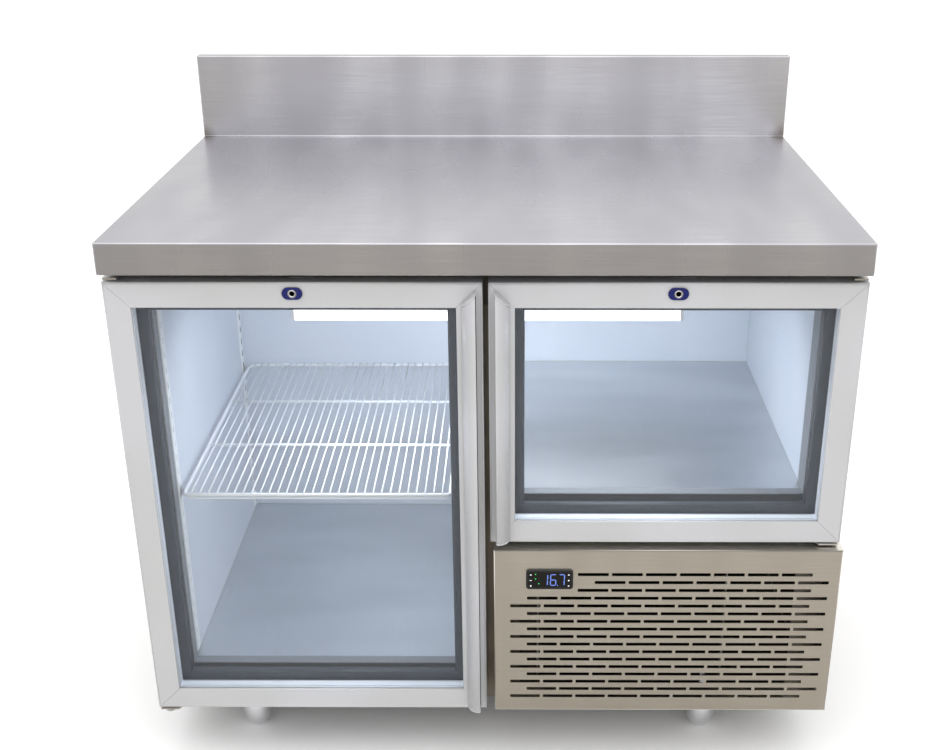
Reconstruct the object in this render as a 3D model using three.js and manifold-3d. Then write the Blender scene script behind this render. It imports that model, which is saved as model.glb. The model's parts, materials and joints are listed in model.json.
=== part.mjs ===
// Two-door glass chiller counter with a stainless worktop and upstand.
// Millimetres, +Z up, the doors face -Y. While it is drawn, X = 0 is the middle of the worktop,
// Y = 0 its front edge and Z = 0 the floor; the group then moves to the middle of its own footprint.
import * as THREE from "three";
import { mergeVertices } from "three/addons/utils/BufferGeometryUtils.js";
import Module from "manifold-3d";

const wasm = await Module();
wasm.setup();

// Overall sizes
const width = 1100;
const depth = 720;
const worktopHeight = 906;
const seam = 0.3; // gap between fixed neighbours
const sheet = 1.5; // gauge of the folded panels
const weld = 1; // how far joined pieces run into each other
const bigger = 20; // how far a cutting tool runs past what it cuts

// Worktop
const fasciaHeight = 48;
const fasciaReturn = 20;
const upstandHeight = 149;
const upstandThickness = 20;

// Insulated cabinet
const cabinetInset = 2;
const cabinetFront = 71;
const rearOverhang = 35;
const wall = 50;
const rearWall = 50;
const legHeight = 82;
const floorHeight = 68;
const deckThickness = 61;
const headerHeight = 116;
const jambDepth = 44;
const sillDepth = 19;
const mullionWidth = 100;
const riserThickness = 60;
const jambSill = 3; // deck above the inner edge of the right door frame

// Doors
const doorFront = 15;
const doorDepth = 40;
const doorTopGap = 15;
const doorLift = 18; // left door bottom above the cabinet bottom
const meetingGap = 8;
const frontLip = 38.5;
const backLip = 53;
const chamberWall = 2;
const rebate = 26;
const lipThickness = 2.75;
const paneThickness = 4;
const paneGap = 18;
const paneCover = 10.5; // how much of the pane the front lip covers
const rightDoorRise = 317; // right door bottom above the left door bottom
const gasketFromEdge = 16;
const gasketWidth = 30;

// Door handle profile
const handleStart = 9;
const handleWidth = 22;
const handleHeight = 21;
const handleWall = 2.5;
const handleEndGap = 6;

// Hinges
const pinRadius = 4;
const pinFromEdge = 12;
const pinFromFront = 25;
const pinEngagement = 20;
const hingePlate = 3;
const hingeGap = 3;
const hingeSetback = 3; // front edge of the plate behind the door front
const upperHinge = { flange: 30, frontWidth: 20, backWidth: 38 };
const lowerHinge = { flange: 8, frontWidth: 30, backWidth: 65 };
const washerWall = 4;
const pinHeadWall = 5;
const leftPinHead = 14; // height of the lower hinge pin's head under its plate
const rightPinHead = 2; // flat, to clear the slotted cover
const bore = 0.3; // radial running clearance
const boreDepth = 2; // bore past the end of its pin

// Locks
const lockDrop = 16; // lock axis below the top of the door
const plugRadius = 6;
const escutcheonWidth = 30;
const escutcheonHeight = 18.5;
const escutcheonThickness = 2.5;
const camLength = 26;
const camWidth = 10;
const camThickness = 2;
const plugLength = 24;
const sleeveWall = 2; // lock case round its plug
const sleeveEnd = 3; // end of the case ahead of the cam
const camClearance = 1;
const tabThickness = 2.5;
const tabHalf = 28;
const tabRise = 5; // underside of a lock tab above the door top
const tabSetback = 16; // front of a lock tab behind the door front
const tabSlotMargin = 2;

// Shelf and its uprights
const shelfHeight = 322; // above the left floor
const shelfSideGap = 8;
const shelfWirePitch = 13.8;
const shelfWire = 2.6;
const shelfFrameWire = 6;
const shelfEndGap = 5;
const uprightWidth = 18;
const uprightThickness = 3;
const uprightSlotPitch = 25;
const uprightSlotWidth = 4;
const uprightSlotHeight = 11;
const uprightLow = 8; // foot of an upright above the left floor
const uprightHigh = 12; // head of an upright below the ceiling
const frontUprightGap = 4;
const rearUprightGap = 8;

// Lamp
const lampLength = 600;
const lampWidth = 30;
const lampHeight = 43;
const lampLensHeight = 22;
const lampLensRound = 9;
const lampGap = 4; // behind the door jamb
const lampDrop = 2; // below the ceiling
const lampTrayInset = 2;

// Machine compartment front
const grilleFront = 5;
const grilleLeft = 9.5;
const grilleSideOverhang = 5;
const grilleGap = 8.3; // below the right door
const grilleLift = 22.7; // above the cabinet bottom
const slotLength = 48.5;
const slotHeight = 5;
const slotPitch = 53.4;
const slotRowPitch = 14.5;
const slotTopMargin = 43.6;
const slotBottomMargin = 22;
const slotLeftMargin = 25.5;
const slotRightMargin = 12;
const slotsClearBeside = 6; // clear of slots to the right of the controller
const slotsClearBelow = 6; // clear of slots under the controller
const controllerWidth = 74;
const controllerHeight = 34;
const controllerLeft = 50.6;
const controllerTop = 34.5;
const controllerBezel = 3;
const controllerDepth = 55;
const controllerOverlap = 2.5; // bezel over the edge of its hole
const controllerRound = 5;

// Feet
const footRadius = 25;
const footStud = 6;
const footStudLength = 26;
const footFromLeft = 141;
const footFromRight = 184;
const footFromFront = 38; // behind the cabinet front
const footFromBack = 54; // ahead of the cabinet back

// Cooling unit
const evaporator = { fromRight: 370, width: 400, height: 130, depth: 138, drop: 3, backGap: 12 };
const evaporatorFanRadius = 50;
const condenser = { fromLeft: 230, width: 320, depth: 60, frontGap: 8, headroom: 38.2 };
const condenserFan = { lift: 42, headroom: 50.2, rim: 18, gap: 6, motorReach: 70 };
const compressor = { fromRight: 130, fromBack: 170, radius: 76, height: 158, lift: 12 };
const compressorPlate = { length: 180, depth: 120, thickness: 14 };
const fanDepth = 18;
const fanBlades = 5;
const fanClearance = 6; // blade tips to the ring round them
const glandFromRight = 66;
const glandHeight = 48; // above the cabinet bottom
const glandRadius = 9;
const ventWidth = 8;
const ventPitch = 28;
const ventMargin = 90; // from either side of the machine compartment
const ventLift = 70;
const ventDrop = 60;

// Worked out from the sizes above
const cabinetHalf = width / 2 - cabinetInset;
const cabinetBack = depth - rearOverhang;
const cabinetTop = worktopHeight - sheet - seam;
const openingTop = worktopHeight - headerHeight;
const innerHalf = cabinetHalf + cabinetInset - wall;
const linerBack = cabinetBack - rearWall;
const floorTop = legHeight + floorHeight;
const leftDoorBottom = legHeight + doorLift;
const rightDoorBottom = leftDoorBottom + rightDoorRise;
const deckTop = rightDoorBottom + backLip + jambSill;
const machineTop = deckTop - deckThickness;
const doorTop = worktopHeight - fasciaHeight - doorTopGap;
const doorWidth = (width - meetingGap) / 2;
const paneEdge = frontLip - paneCover;
const glazingFront = lipThickness + seam;
const spacerFront = glazingFront + paneThickness;
const innerPaneFront = spacerFront + paneGap;
const glazingBack = innerPaneFront + paneThickness + seam;
const jambBack = cabinetFront + jambDepth;
const sillBack = cabinetFront + sillDepth;
const mullionHalf = mullionWidth / 2;
const machineLeft = riserThickness - mullionHalf;
const machineRight = cabinetHalf - sheet;
const grilleRight = width / 2 + grilleSideOverhang;
const grilleTop = rightDoorBottom - grilleGap;
const grilleBottom = legHeight + grilleLift;
const shelfTop = floorTop + shelfHeight;
const footPlaces = [
  ["left_front_foot", footFromLeft - width / 2, cabinetFront + footFromFront],
  ["right_front_foot", width / 2 - footFromRight, cabinetFront + footFromFront],
  ["left_rear_foot", footFromLeft - width / 2, cabinetBack - footFromBack],
  ["right_rear_foot", width / 2 - footFromRight, cabinetBack - footFromBack],
];

function finish(color, metalness, roughness) {
  return new THREE.MeshStandardMaterial({ color, metalness, roughness });
}

const stainless = finish(0xb9b7b4, 1, 0.32);
const linerWhite = finish(0xe9eef2, 0, 0.4);
const doorWhite = finish(0xd6d6d4, 0.1, 0.4);
const clearGlass = finish(0xdfeaf0, 0, 0.05);
const spacerMetal = finish(0xb8c0c8, 1, 0.4);
const greyRubber = finish(0x6e7372, 0, 0.7);
const foamYellow = finish(0xd9cfa6, 0, 0.9);
const blueEnamel = finish(0x13206e, 0, 0.3);
const chrome = finish(0xd0d0d0, 1, 0.12);
const whiteWire = finish(0xf2f4f6, 0, 0.35);
const lensWhite = finish(0xffffff, 0, 0.5);
const blackPlastic = finish(0x1e1f22, 0, 0.4);
const blackSteel = finish(0x26272a, 0.4, 0.5);
const finAluminium = finish(0xaab0b4, 1, 0.45);

const group = new THREE.Group();

function addPart(name, geometry, material) {
  const mesh = new THREE.Mesh(geometry, material);
  mesh.name = name;
  group.add(mesh);
}

// Shape makers

function box(x0, x1, y0, y1, z0, z1) {
  const g = new THREE.BoxGeometry(x1 - x0, y1 - y0, z1 - z0);
  return g.translate((x0 + x1) / 2, (y0 + y1) / 2, (z0 + z1) / 2);
}

// Reverses every face, for geometry that was mirrored.
function turnedOut(geometry) {
  const g = geometry.index ? geometry.toNonIndexed() : geometry;
  const p = g.getAttribute("position");
  const second = new THREE.Vector3();
  const third = new THREE.Vector3();
  for (let i = 0; i < p.count; i += 3) {
    second.fromBufferAttribute(p, i + 1);
    third.fromBufferAttribute(p, i + 2);
    p.setXYZ(i + 1, third.x, third.y, third.z);
    p.setXYZ(i + 2, second.x, second.y, second.z);
  }
  return g;
}

// Puts geometry drawn in a local frame at an origin, with its X, Y and Z along three directions.
function placed(geometry, origin, xDir, yDir, zDir) {
  const basis = new THREE.Matrix4().makeBasis(
    new THREE.Vector3(...xDir),
    new THREE.Vector3(...yDir),
    new THREE.Vector3(...zDir),
  );
  basis.setPosition(...origin);
  const g = geometry.applyMatrix4(basis);
  return basis.determinant() < 0 ? turnedOut(g) : g;
}

function outline(points, holes = []) {
  const shape = new THREE.Shape(points.map(([x, y]) => new THREE.Vector2(x, y)));
  for (const hole of holes) shape.holes.push(new THREE.Path(hole.map(([x, y]) => new THREE.Vector2(x, y))));
  return shape;
}

const rectangle = (x0, x1, y0, y1) => [
  [x0, y0],
  [x1, y0],
  [x1, y1],
  [x0, y1],
];

function prism(shape, length, curveSegments = 6) {
  return new THREE.ExtrudeGeometry(shape, { depth: length, bevelEnabled: false, curveSegments });
}

// A rectangle with rounded corners, centred on the origin.
function roundedRectangle(w, h, r) {
  const shape = new THREE.Shape();
  shape.moveTo(-w / 2 + r, -h / 2);
  shape.lineTo(w / 2 - r, -h / 2);
  shape.absarc(w / 2 - r, -h / 2 + r, r, -Math.PI / 2, 0);
  shape.lineTo(w / 2, h / 2 - r);
  shape.absarc(w / 2 - r, h / 2 - r, r, 0, Math.PI / 2);
  shape.lineTo(-w / 2 + r, h / 2);
  shape.absarc(-w / 2 + r, h / 2 - r, r, Math.PI / 2, Math.PI);
  shape.lineTo(-w / 2, -h / 2 + r);
  shape.absarc(-w / 2 + r, -h / 2 + r, r, Math.PI, Math.PI * 1.5);
  return shape;
}

// A shape drawn in X and Z, given a thickness from y0 to y1.
function frontPlate(shape, y0, y1) {
  return placed(prism(shape, y1 - y0), [0, y1, 0], [1, 0, 0], [0, 0, 1], [0, -1, 0]);
}

// A shape drawn in X and Y, given a thickness from z0 to z1.
function flatPlate(shape, z0, z1) {
  return prism(shape, z1 - z0).translate(0, 0, z0);
}

function uprightCylinder(x, y, z0, z1, r, sides = 20) {
  const g = new THREE.CylinderGeometry(r, r, z1 - z0, sides);
  return g.rotateX(Math.PI / 2).translate(x, y, (z0 + z1) / 2);
}

function levelCylinder(x, z, y0, y1, r, sides = 20) {
  const g = new THREE.CylinderGeometry(r, r, y1 - y0, sides);
  return g.translate(x, (y0 + y1) / 2, z);
}

// Joins and cuts

function solid(geometry) {
  const plain = geometry.clone();
  for (const name of Object.keys(plain.attributes)) if (name !== "position") plain.deleteAttribute(name);
  const merged = mergeVertices(plain, 1e-3);
  return new wasm.Manifold(
    new wasm.Mesh({
      numProp: 3,
      vertProperties: merged.attributes.position.array,
      triVerts: new Uint32Array(merged.index.array),
    }),
  );
}

function surface(manifold) {
  const m = manifold.getMesh();
  const g = new THREE.BufferGeometry();
  g.setAttribute("position", new THREE.BufferAttribute(new Float32Array(m.vertProperties), 3));
  g.setIndex(new THREE.BufferAttribute(new Uint32Array(m.triVerts), 1));
  const faceted = g.toNonIndexed();
  faceted.computeVertexNormals();
  return faceted;
}

const joined = (...pieces) => surface(pieces.map(solid).reduce((a, b) => a.add(b)));
const cut = (base, ...tools) => surface(tools.map(solid).reduce((a, b) => a.subtract(b), solid(base)));

// Worktop: one folded sheet with a fascia on three sides and a hollow upstand behind.
function makeWorktop() {
  const half = width / 2;
  const under = worktopHeight - fasciaHeight;
  const top = worktopHeight + upstandHeight;
  const upstandFront = depth - upstandThickness;
  const worktop = joined(
    box(-half, half, 0, upstandFront + sheet, worktopHeight - sheet, worktopHeight),
    box(-half, half, 0, sheet, under, worktopHeight),
    box(-half, half, 0, fasciaReturn, under, under + sheet),
    box(-half, -half + sheet, 0, depth, under, worktopHeight),
    box(half - sheet, half, 0, depth, under, worktopHeight),
    box(-half, half, upstandFront, upstandFront + sheet, worktopHeight - sheet, top),
    box(-half, half, upstandFront, depth, top - sheet, top),
    box(-half, half, depth - sheet, depth, under, top),
    box(-half, -half + sheet, upstandFront, depth, under, top),
    box(half - sheet, half, upstandFront, depth, under, top),
  );
  addPart("worktop", worktop, stainless);
}

// Side panel: outer skin, front flange and the return that lines the door opening from its floor up.
function makeSidePanel(name, side, openingBottom) {
  const out = cabinetHalf;
  const fold = outline([
    [innerHalf, cabinetFront],
    [out, cabinetFront],
    [out, cabinetBack],
    [out - sheet, cabinetBack],
    [out - sheet, cabinetFront + sheet],
    [innerHalf, cabinetFront + sheet],
  ]);
  const panel = joined(
    flatPlate(fold, legHeight, cabinetTop),
    box(innerHalf, innerHalf + sheet, cabinetFront, jambBack, openingBottom, openingTop),
  );
  addPart(name, placed(panel, [0, 0, 0], [side, 0, 0], [0, 1, 0], [0, 0, 1]), stainless);
}

function makeRearPanel() {
  const ventLow = legHeight + ventLift;
  const ventHigh = machineTop - ventDrop;
  const vents = [];
  for (let x = machineLeft + ventMargin; x < machineRight - ventMargin; x += ventPitch) {
    vents.push(box(x, x + ventWidth, cabinetBack - bigger, cabinetBack + bigger, ventLow, ventHigh));
  }
  const half = cabinetHalf - sheet - seam;
  const panel = box(-half, half, cabinetBack - sheet, cabinetBack, legHeight + sheet + seam, cabinetTop);
  const [x, z] = glandPlace();
  const hole = levelCylinder(x, z, cabinetBack - bigger, cabinetBack + bigger, glandRadius + bore);
  addPart("rear_panel", cut(panel, hole, ...vents), stainless);
}

// Base panel, turned up at the front left to face the sill under the left door.
function makeBasePanel() {
  const half = cabinetHalf - sheet - seam;
  const sillLeft = -innerHalf + seam;
  const sillRight = -mullionHalf - seam;
  const plain = joined(
    box(-half, half, cabinetFront + sheet + seam, cabinetBack - seam, legHeight, legHeight + sheet),
    box(sillLeft, sillRight, cabinetFront, cabinetFront + sheet, legHeight, floorTop),
    box(sillLeft, sillRight, cabinetFront, cabinetFront + sheet + 2 * seam, legHeight, legHeight + sheet),
    box(sillLeft, sillRight, cabinetFront, sillBack, floorTop - sheet, floorTop),
  );
  const holes = footPlaces.map(([, x, y]) =>
    uprightCylinder(x, y, legHeight - bigger, legHeight + bigger, footStud + bore),
  );
  addPart("base_panel", cut(plain, ...holes), stainless);
}

// Front header with the tabs that the lock cams turn into.
function makeHeader() {
  const half = innerHalf - seam;
  const tabLow = doorTop + tabRise;
  const tabFront = doorFront + tabSetback;
  const slotFront = camFront() - tabSlotMargin;
  const slotBack = camFront() + camThickness + tabSlotMargin;
  const pieces = [
    box(-half, half, cabinetFront, cabinetFront + sheet, openingTop, cabinetTop),
    box(-half, half, cabinetFront, jambBack, openingTop, openingTop + sheet),
  ];
  const slots = [];
  for (const side of [-1, 1]) {
    const x = side * lockX();
    pieces.push(box(x - tabHalf, x + tabHalf, tabFront, cabinetFront + sheet, tabLow, tabLow + tabThickness));
    const [low, high] = camSweep(tabRise + lockDrop);
    const slotLow = x - low - tabSlotMargin;
    const slotHigh = x + high + tabSlotMargin;
    slots.push(box(slotLow, slotHigh, slotFront, slotBack, doorTop, doorTop + bigger));
  }
  addPart("front_header", cut(joined(...pieces), ...slots), stainless);
}

function makeMullion() {
  const hollow = mullionHalf - sheet;
  const shape = outline([
    [-mullionHalf, jambBack],
    [-mullionHalf, cabinetFront],
    [mullionHalf, cabinetFront],
    [mullionHalf, jambBack],
    [hollow, jambBack],
    [hollow, cabinetFront + sheet],
    [-hollow, cabinetFront + sheet],
    [-hollow, jambBack],
  ]);
  addPart("centre_mullion", flatPlate(shape, legHeight + sheet + seam, openingTop - seam), stainless);
}

function makeRightSill() {
  const left = mullionHalf + seam;
  const right = innerHalf - seam;
  const sill = joined(
    box(left, right, cabinetFront, cabinetFront + sheet, machineTop, deckTop),
    box(left, right, cabinetFront, sillBack, deckTop - sheet, deckTop),
  );
  addPart("right_sill", sill, stainless);
}

// Foamed-in-place insulation: the block between the skins, less the chamber and the machine compartment.
function makeInsulation() {
  const skin = sheet + seam;
  const half = cabinetHalf - skin;
  const chamberHalf = innerHalf + skin;
  const block = box(-half, half, cabinetFront + skin, cabinetBack - skin, legHeight + skin, cabinetTop);
  const upper = box(-chamberHalf, chamberHalf, 0, linerBack + skin, deckTop - skin, openingTop + skin);
  const lowerRight = skin - mullionHalf;
  const lower = box(-chamberHalf, lowerRight, 0, linerBack + skin, floorTop - skin, deckTop);
  const machine = box(machineLeft, width, 0, depth, 0, machineTop);
  const post = box(-mullionHalf - seam, mullionHalf + seam, 0, jambBack + seam, 0, openingTop);
  const studTop = legHeight + footStudLength + 2;
  const pockets = footPlaces
    .filter(([, x]) => x < 0)
    .map(([, x, y]) => uprightCylinder(x, y, 0, studTop, footStud + 1));
  addPart("insulation", cut(block, upper, lower, machine, post, ...pockets), foamYellow);
}

function makeLiner() {
  const front = jambBack + seam;
  const back = linerBack - seam;
  const side = innerHalf - seam;
  const riserFace = -mullionHalf;
  const leftWall = box(-innerHalf - sheet, -innerHalf, front, back, floorTop, openingTop);
  const rightWall = box(innerHalf, innerHalf + sheet, front, back, deckTop, openingTop);
  addPart("liner_left_wall", leftWall, linerWhite);
  addPart("liner_right_wall", rightWall, linerWhite);
  const rear = outline([
    [-side, floorTop + seam],
    [riserFace, floorTop + seam],
    [riserFace, deckTop + seam],
    [side, deckTop + seam],
    [side, openingTop - seam],
    [-side, openingTop - seam],
  ]);
  addPart("liner_rear_wall", frontPlate(rear, linerBack, linerBack + sheet), linerWhite);
  addPart("liner_ceiling", box(-side, side, front, back, openingTop, openingTop + sheet), linerWhite);
  const leftFloor = box(-side, riserFace - seam, sillBack + seam, back, floorTop - sheet, floorTop);
  addPart("left_floor_plate", leftFloor, stainless);
  const deck = outline([
    [riserFace, front],
    [mullionHalf + seam, front],
    [mullionHalf + seam, sillBack + seam],
    [side, sillBack + seam],
    [side, back],
    [riserFace, back],
  ]);
  const riser = box(riserFace, riserFace + sheet, front, back, floorTop + seam, deckTop);
  addPart("raised_floor", joined(flatPlate(deck, deckTop - sheet, deckTop), riser), stainless);
}

// Slotted uprights on the left wall, one on the jamb return and one in the rear corner.
function makeUprights() {
  const low = floorTop + uprightLow;
  const high = openingTop - uprightHigh;
  const halfWide = uprightSlotWidth / 2;
  const halfHigh = uprightSlotHeight / 2;
  const places = [
    ["left_front_upright", jambBack - frontUprightGap - uprightWidth],
    ["left_rear_upright", linerBack - rearUprightGap - uprightWidth],
  ];
  for (const [name, y] of places) {
    const slots = [];
    for (let z = low + uprightSlotPitch / 2; z < high - uprightSlotPitch / 2; z += uprightSlotPitch) {
      const middle = y + uprightWidth / 2;
      slots.push(box(-width / 2, 0, middle - halfWide, middle + halfWide, z - halfHigh, z + halfHigh));
    }
    const x = seam - innerHalf;
    addPart(name, cut(box(x, x + uprightThickness, y, y + uprightWidth, low, high), ...slots), stainless);
  }
}

// Wire shelf: a frame, two cross bars and fine wires laid over them.
function makeShelf() {
  const uprightFace = uprightThickness + seam;
  const left = -innerHalf + uprightFace + shelfSideGap;
  const right = -mullionHalf - shelfSideGap;
  const front = cabinetFront + shelfEndGap;
  const back = linerBack - shelfEndGap;
  const t = shelfFrameWire;
  const high = shelfTop - shelfWire / 2;
  const low = high - t;
  const bay = (back - front - t) / 3;
  const pieces = [box(left, left + t, front, back, low, high), box(right - t, right, front, back, low, high)];
  for (let i = 0; i < 4; i++) {
    pieces.push(box(left, right, front + i * bay, front + i * bay + t, low, high));
  }
  const wires = Math.floor((right - left - 3 * t) / shelfWirePitch) + 1;
  const first = (left + right - (wires - 1) * shelfWirePitch) / 2;
  for (let i = 0; i < wires; i++) {
    const x = first + i * shelfWirePitch;
    const wireLow = shelfTop - shelfWire;
    pieces.push(box(x - shelfWire / 2, x + shelfWire / 2, front + 1, back - 1, wireLow, shelfTop));
  }
  addPart("wire_shelf", joined(...pieces), whiteWire);
}

// Lamp under the front of the ceiling: a metal tray above and a lens with rounded lower edges.
function makeLamp() {
  const y = jambBack + lampGap;
  const top = openingTop - lampDrop;
  const lensTop = top - lampHeight + lampLensHeight;
  const trayHalf = lampLength / 2 - 1;
  const trayBack = y + lampWidth - lampTrayInset;
  const tray = box(-trayHalf, trayHalf, y + lampTrayInset, trayBack, lensTop + seam, top);
  addPart("lamp_housing", tray, finAluminium);
  const r = lampLensRound;
  const lens = new THREE.Shape();
  lens.moveTo(0, 0);
  lens.lineTo(0, r - lampLensHeight);
  lens.absarc(r, r - lampLensHeight, r, Math.PI, Math.PI * 1.5);
  lens.lineTo(lampWidth - r, -lampLensHeight);
  lens.absarc(lampWidth - r, r - lampLensHeight, r, -Math.PI / 2, 0);
  lens.lineTo(lampWidth, 0);
  const start = [-lampLength / 2, y, lensTop];
  const body = placed(prism(lens, lampLength), start, [0, 1, 0], [0, 0, 1], [1, 0, 0]);
  addPart("lamp_lens", body, lensWhite);
}

// Doors. Across a door, u runs inwards from its outer edge and v backwards from its front face.

const lockX = () => meetingGap / 2 + doorWidth / 2;
const camFront = () => doorFront - escutcheonThickness + plugLength + 1;

// How far the cam reaches each side of its axis where it crosses a level above that axis.
function camSweep(level) {
  return [camWidth / 2, Math.sqrt(camLength ** 2 - level ** 2) + camWidth / 2];
}

// A length of frame extrusion with both ends cut at 45 degrees.
function mitredMember(length) {
  const corner = 3;
  const section = outline(
    [
      [corner, 0],
      [frontLip, 0],
      [frontLip, lipThickness],
      [rebate, lipThickness],
      [rebate, glazingBack],
      [backLip, glazingBack],
      [backLip, doorDepth],
      [0, doorDepth],
      [0, corner],
      [corner * 0.29, corner * 0.29],
    ],
    [rectangle(chamberWall, rebate - chamberWall, chamberWall, doorDepth - chamberWall)],
  );
  const g = prism(section, 1);
  const p = g.getAttribute("position");
  for (let i = 0; i < p.count; i++) {
    const u = p.getX(i);
    p.setZ(i, p.getZ(i) < 0.5 ? u + seam / 2 : length - u - seam / 2);
  }
  return g;
}

// The grip: a base strip with a fin that curls forward and leaves a finger recess behind it.
// Both edges of the fin are arcs of ellipses, from the glass side to the crest.
function handleSection() {
  const steps = 7;
  const points = [[handleStart, 0]];
  points.push([handleStart + handleWidth, 0]);
  for (let i = 1; i <= steps; i++) {
    const a = (i / steps) * (Math.PI / 2);
    points.push([handleStart + 4 + (handleWidth - 4) * Math.cos(a), handleHeight * Math.sin(a)]);
  }
  points.push([handleStart + 1, handleHeight - 1.5]);
  points.push([handleStart + 1, handleHeight - handleWall - 1]);
  for (let i = steps - 1; i >= 1; i--) {
    const a = (i / steps) * (Math.PI / 2);
    const reach = handleWidth - 4 - handleWall * 1.6;
    const rise = handleHeight - handleWall * 2;
    points.push([handleStart + 4 + reach * Math.cos(a), handleWall + rise * Math.sin(a)]);
  }
  points.push([handleStart, handleWall]);
  return outline(points);
}

function makeDoor(door, side, bottom) {
  const height = doorTop - bottom;
  const outer = (side * width) / 2;
  const inner = (side * meetingGap) / 2;
  const back = [0, 1, 0];
  const inwards = [-side, 0, 0];
  const outwards = [side, 0, 0];
  const up = [0, 0, 1];
  const down = [0, 0, -1];
  const pinX = outer - side * pinFromEdge;
  const pinY = doorFront + pinFromFront;
  const reach = pinEngagement + boreDepth;
  const topBore = uprightCylinder(pinX, pinY, doorTop - reach, doorTop + bigger, pinRadius + bore);
  const lowBore = uprightCylinder(pinX, pinY, bottom - bigger, bottom + reach, pinRadius + bore);

  // Frame
  const hingeStile = placed(mitredMember(height), [outer, doorFront, bottom], inwards, back, up);
  const handleStile = placed(mitredMember(height), [inner, doorFront, bottom], outwards, back, up);
  const topRail = placed(mitredMember(doorWidth), [outer, doorFront, doorTop], down, back, inwards);
  const bottomRail = placed(mitredMember(doorWidth), [outer, doorFront, bottom], up, back, inwards);
  const x = side * lockX();
  const z = doorTop - lockDrop;
  const lockBore = levelCylinder(x, z, 0, doorFront + lipThickness + 1, plugRadius + sleeveWall + bore);
  const [low, high] = camSweep(lockDrop - chamberWall);
  const camSlot = box(
    x - low - camClearance,
    x + high + camClearance,
    camFront() - camClearance,
    camFront() + camThickness + camClearance,
    doorTop - 2 * chamberWall,
    doorTop + bigger,
  );
  addPart(door + "_hinge_stile", cut(hingeStile, topBore, lowBore), doorWhite);
  addPart(door + "_handle_stile", handleStile, doorWhite);
  addPart(door + "_top_rail", cut(topRail, topBore, lockBore, camSlot), doorWhite);
  addPart(door + "_bottom_rail", cut(bottomRail, lowBore), doorWhite);

  // Double glazing
  const edge = paneEdge;
  const x0 = Math.min(outer - side * edge, inner + side * edge);
  const x1 = Math.max(outer - side * edge, inner + side * edge);
  const z0 = bottom + edge;
  const z1 = doorTop - edge;
  const pane = (v) => box(x0, x1, doorFront + v, doorFront + v + paneThickness, z0, z1);
  addPart(door + "_outer_pane", pane(glazingFront), clearGlass);
  addPart(door + "_inner_pane", pane(innerPaneFront), clearGlass);
  const bar = paneCover;
  const daylight = rectangle(x0 + bar, x1 - bar, z0 + bar, z1 - bar);
  const spacer = outline(rectangle(x0, x1, z0, z1), [daylight]);
  const spacerLow = doorFront + spacerFront + seam / 3;
  const spacerHigh = doorFront + innerPaneFront - seam / 3;
  addPart(door + "_spacer", frontPlate(spacer, spacerLow, spacerHigh), spacerMetal);

  // Magnetic gasket on the back of the frame
  const g0 = Math.min(outer - side * gasketFromEdge, inner + side * gasketFromEdge);
  const g1 = Math.max(outer - side * gasketFromEdge, inner + side * gasketFromEdge);
  const gz0 = bottom + gasketFromEdge;
  const gz1 = doorTop - gasketFromEdge;
  const w = gasketWidth;
  const gasket = outline(rectangle(g0, g1, gz0, gz1), [rectangle(g0 + w, g1 - w, gz0 + w, gz1 - w)]);
  const gasketRing = frontPlate(gasket, doorFront + doorDepth + seam, cabinetFront - 2 * seam);
  addPart(door + "_gasket", gasketRing, greyRubber);

  // Handle on the meeting stile: its top end slants with the mitre, its lower end is square.
  const handleLow = bottom + handleEndGap;
  const grip = prism(handleSection(), 1, 4);
  const p = grip.getAttribute("position");
  for (let i = 0; i < p.count; i++) {
    const topEnd = doorTop - p.getX(i) - 2 - handleLow;
    p.setZ(i, p.getZ(i) < 0.5 ? 0 : topEnd);
  }
  const handleOrigin = [inner, doorFront - seam, handleLow];
  addPart(door + "_handle", placed(grip, handleOrigin, outwards, [0, -1, 0], up), doorWhite);

  // Lock: a case with an oval escutcheon, and a plug that carries the cam
  const face = roundedRectangle(escutcheonWidth, escutcheonHeight, escutcheonHeight / 2 - 0.01);
  const plate = prism(face, escutcheonThickness);
  const front = doorFront - seam - escutcheonThickness;
  const caseBody = joined(
    placed(plate, [x, front + escutcheonThickness, z], [1, 0, 0], up, [0, -1, 0]),
    levelCylinder(x, z, front + weld, camFront() - sleeveEnd, plugRadius + sleeveWall),
  );
  const caseBore = levelCylinder(x, z, 0, camFront(), plugRadius + bore);
  addPart(door + "_lock_case", cut(caseBody, caseBore), blueEnamel);
  const camLeft = x - camWidth / 2;
  const camBack = camFront() + camThickness;
  const cam = box(camLeft, x + camLength, camFront(), camBack, z - camWidth / 2, z + camWidth / 2);
  const plug = levelCylinder(x, z, front - 0.5, camFront() + weld, plugRadius);
  addPart(door + "_lock_plug", joined(plug, cam), chrome);

  makeHinge(door + "_upper_hinge", side, doorTop + hingeGap, 1, 0);
  const head = side < 0 ? leftPinHead : rightPinHead;
  makeHinge(door + "_lower_hinge", side, bottom - hingeGap - hingePlate, -1, head);
}

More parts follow.
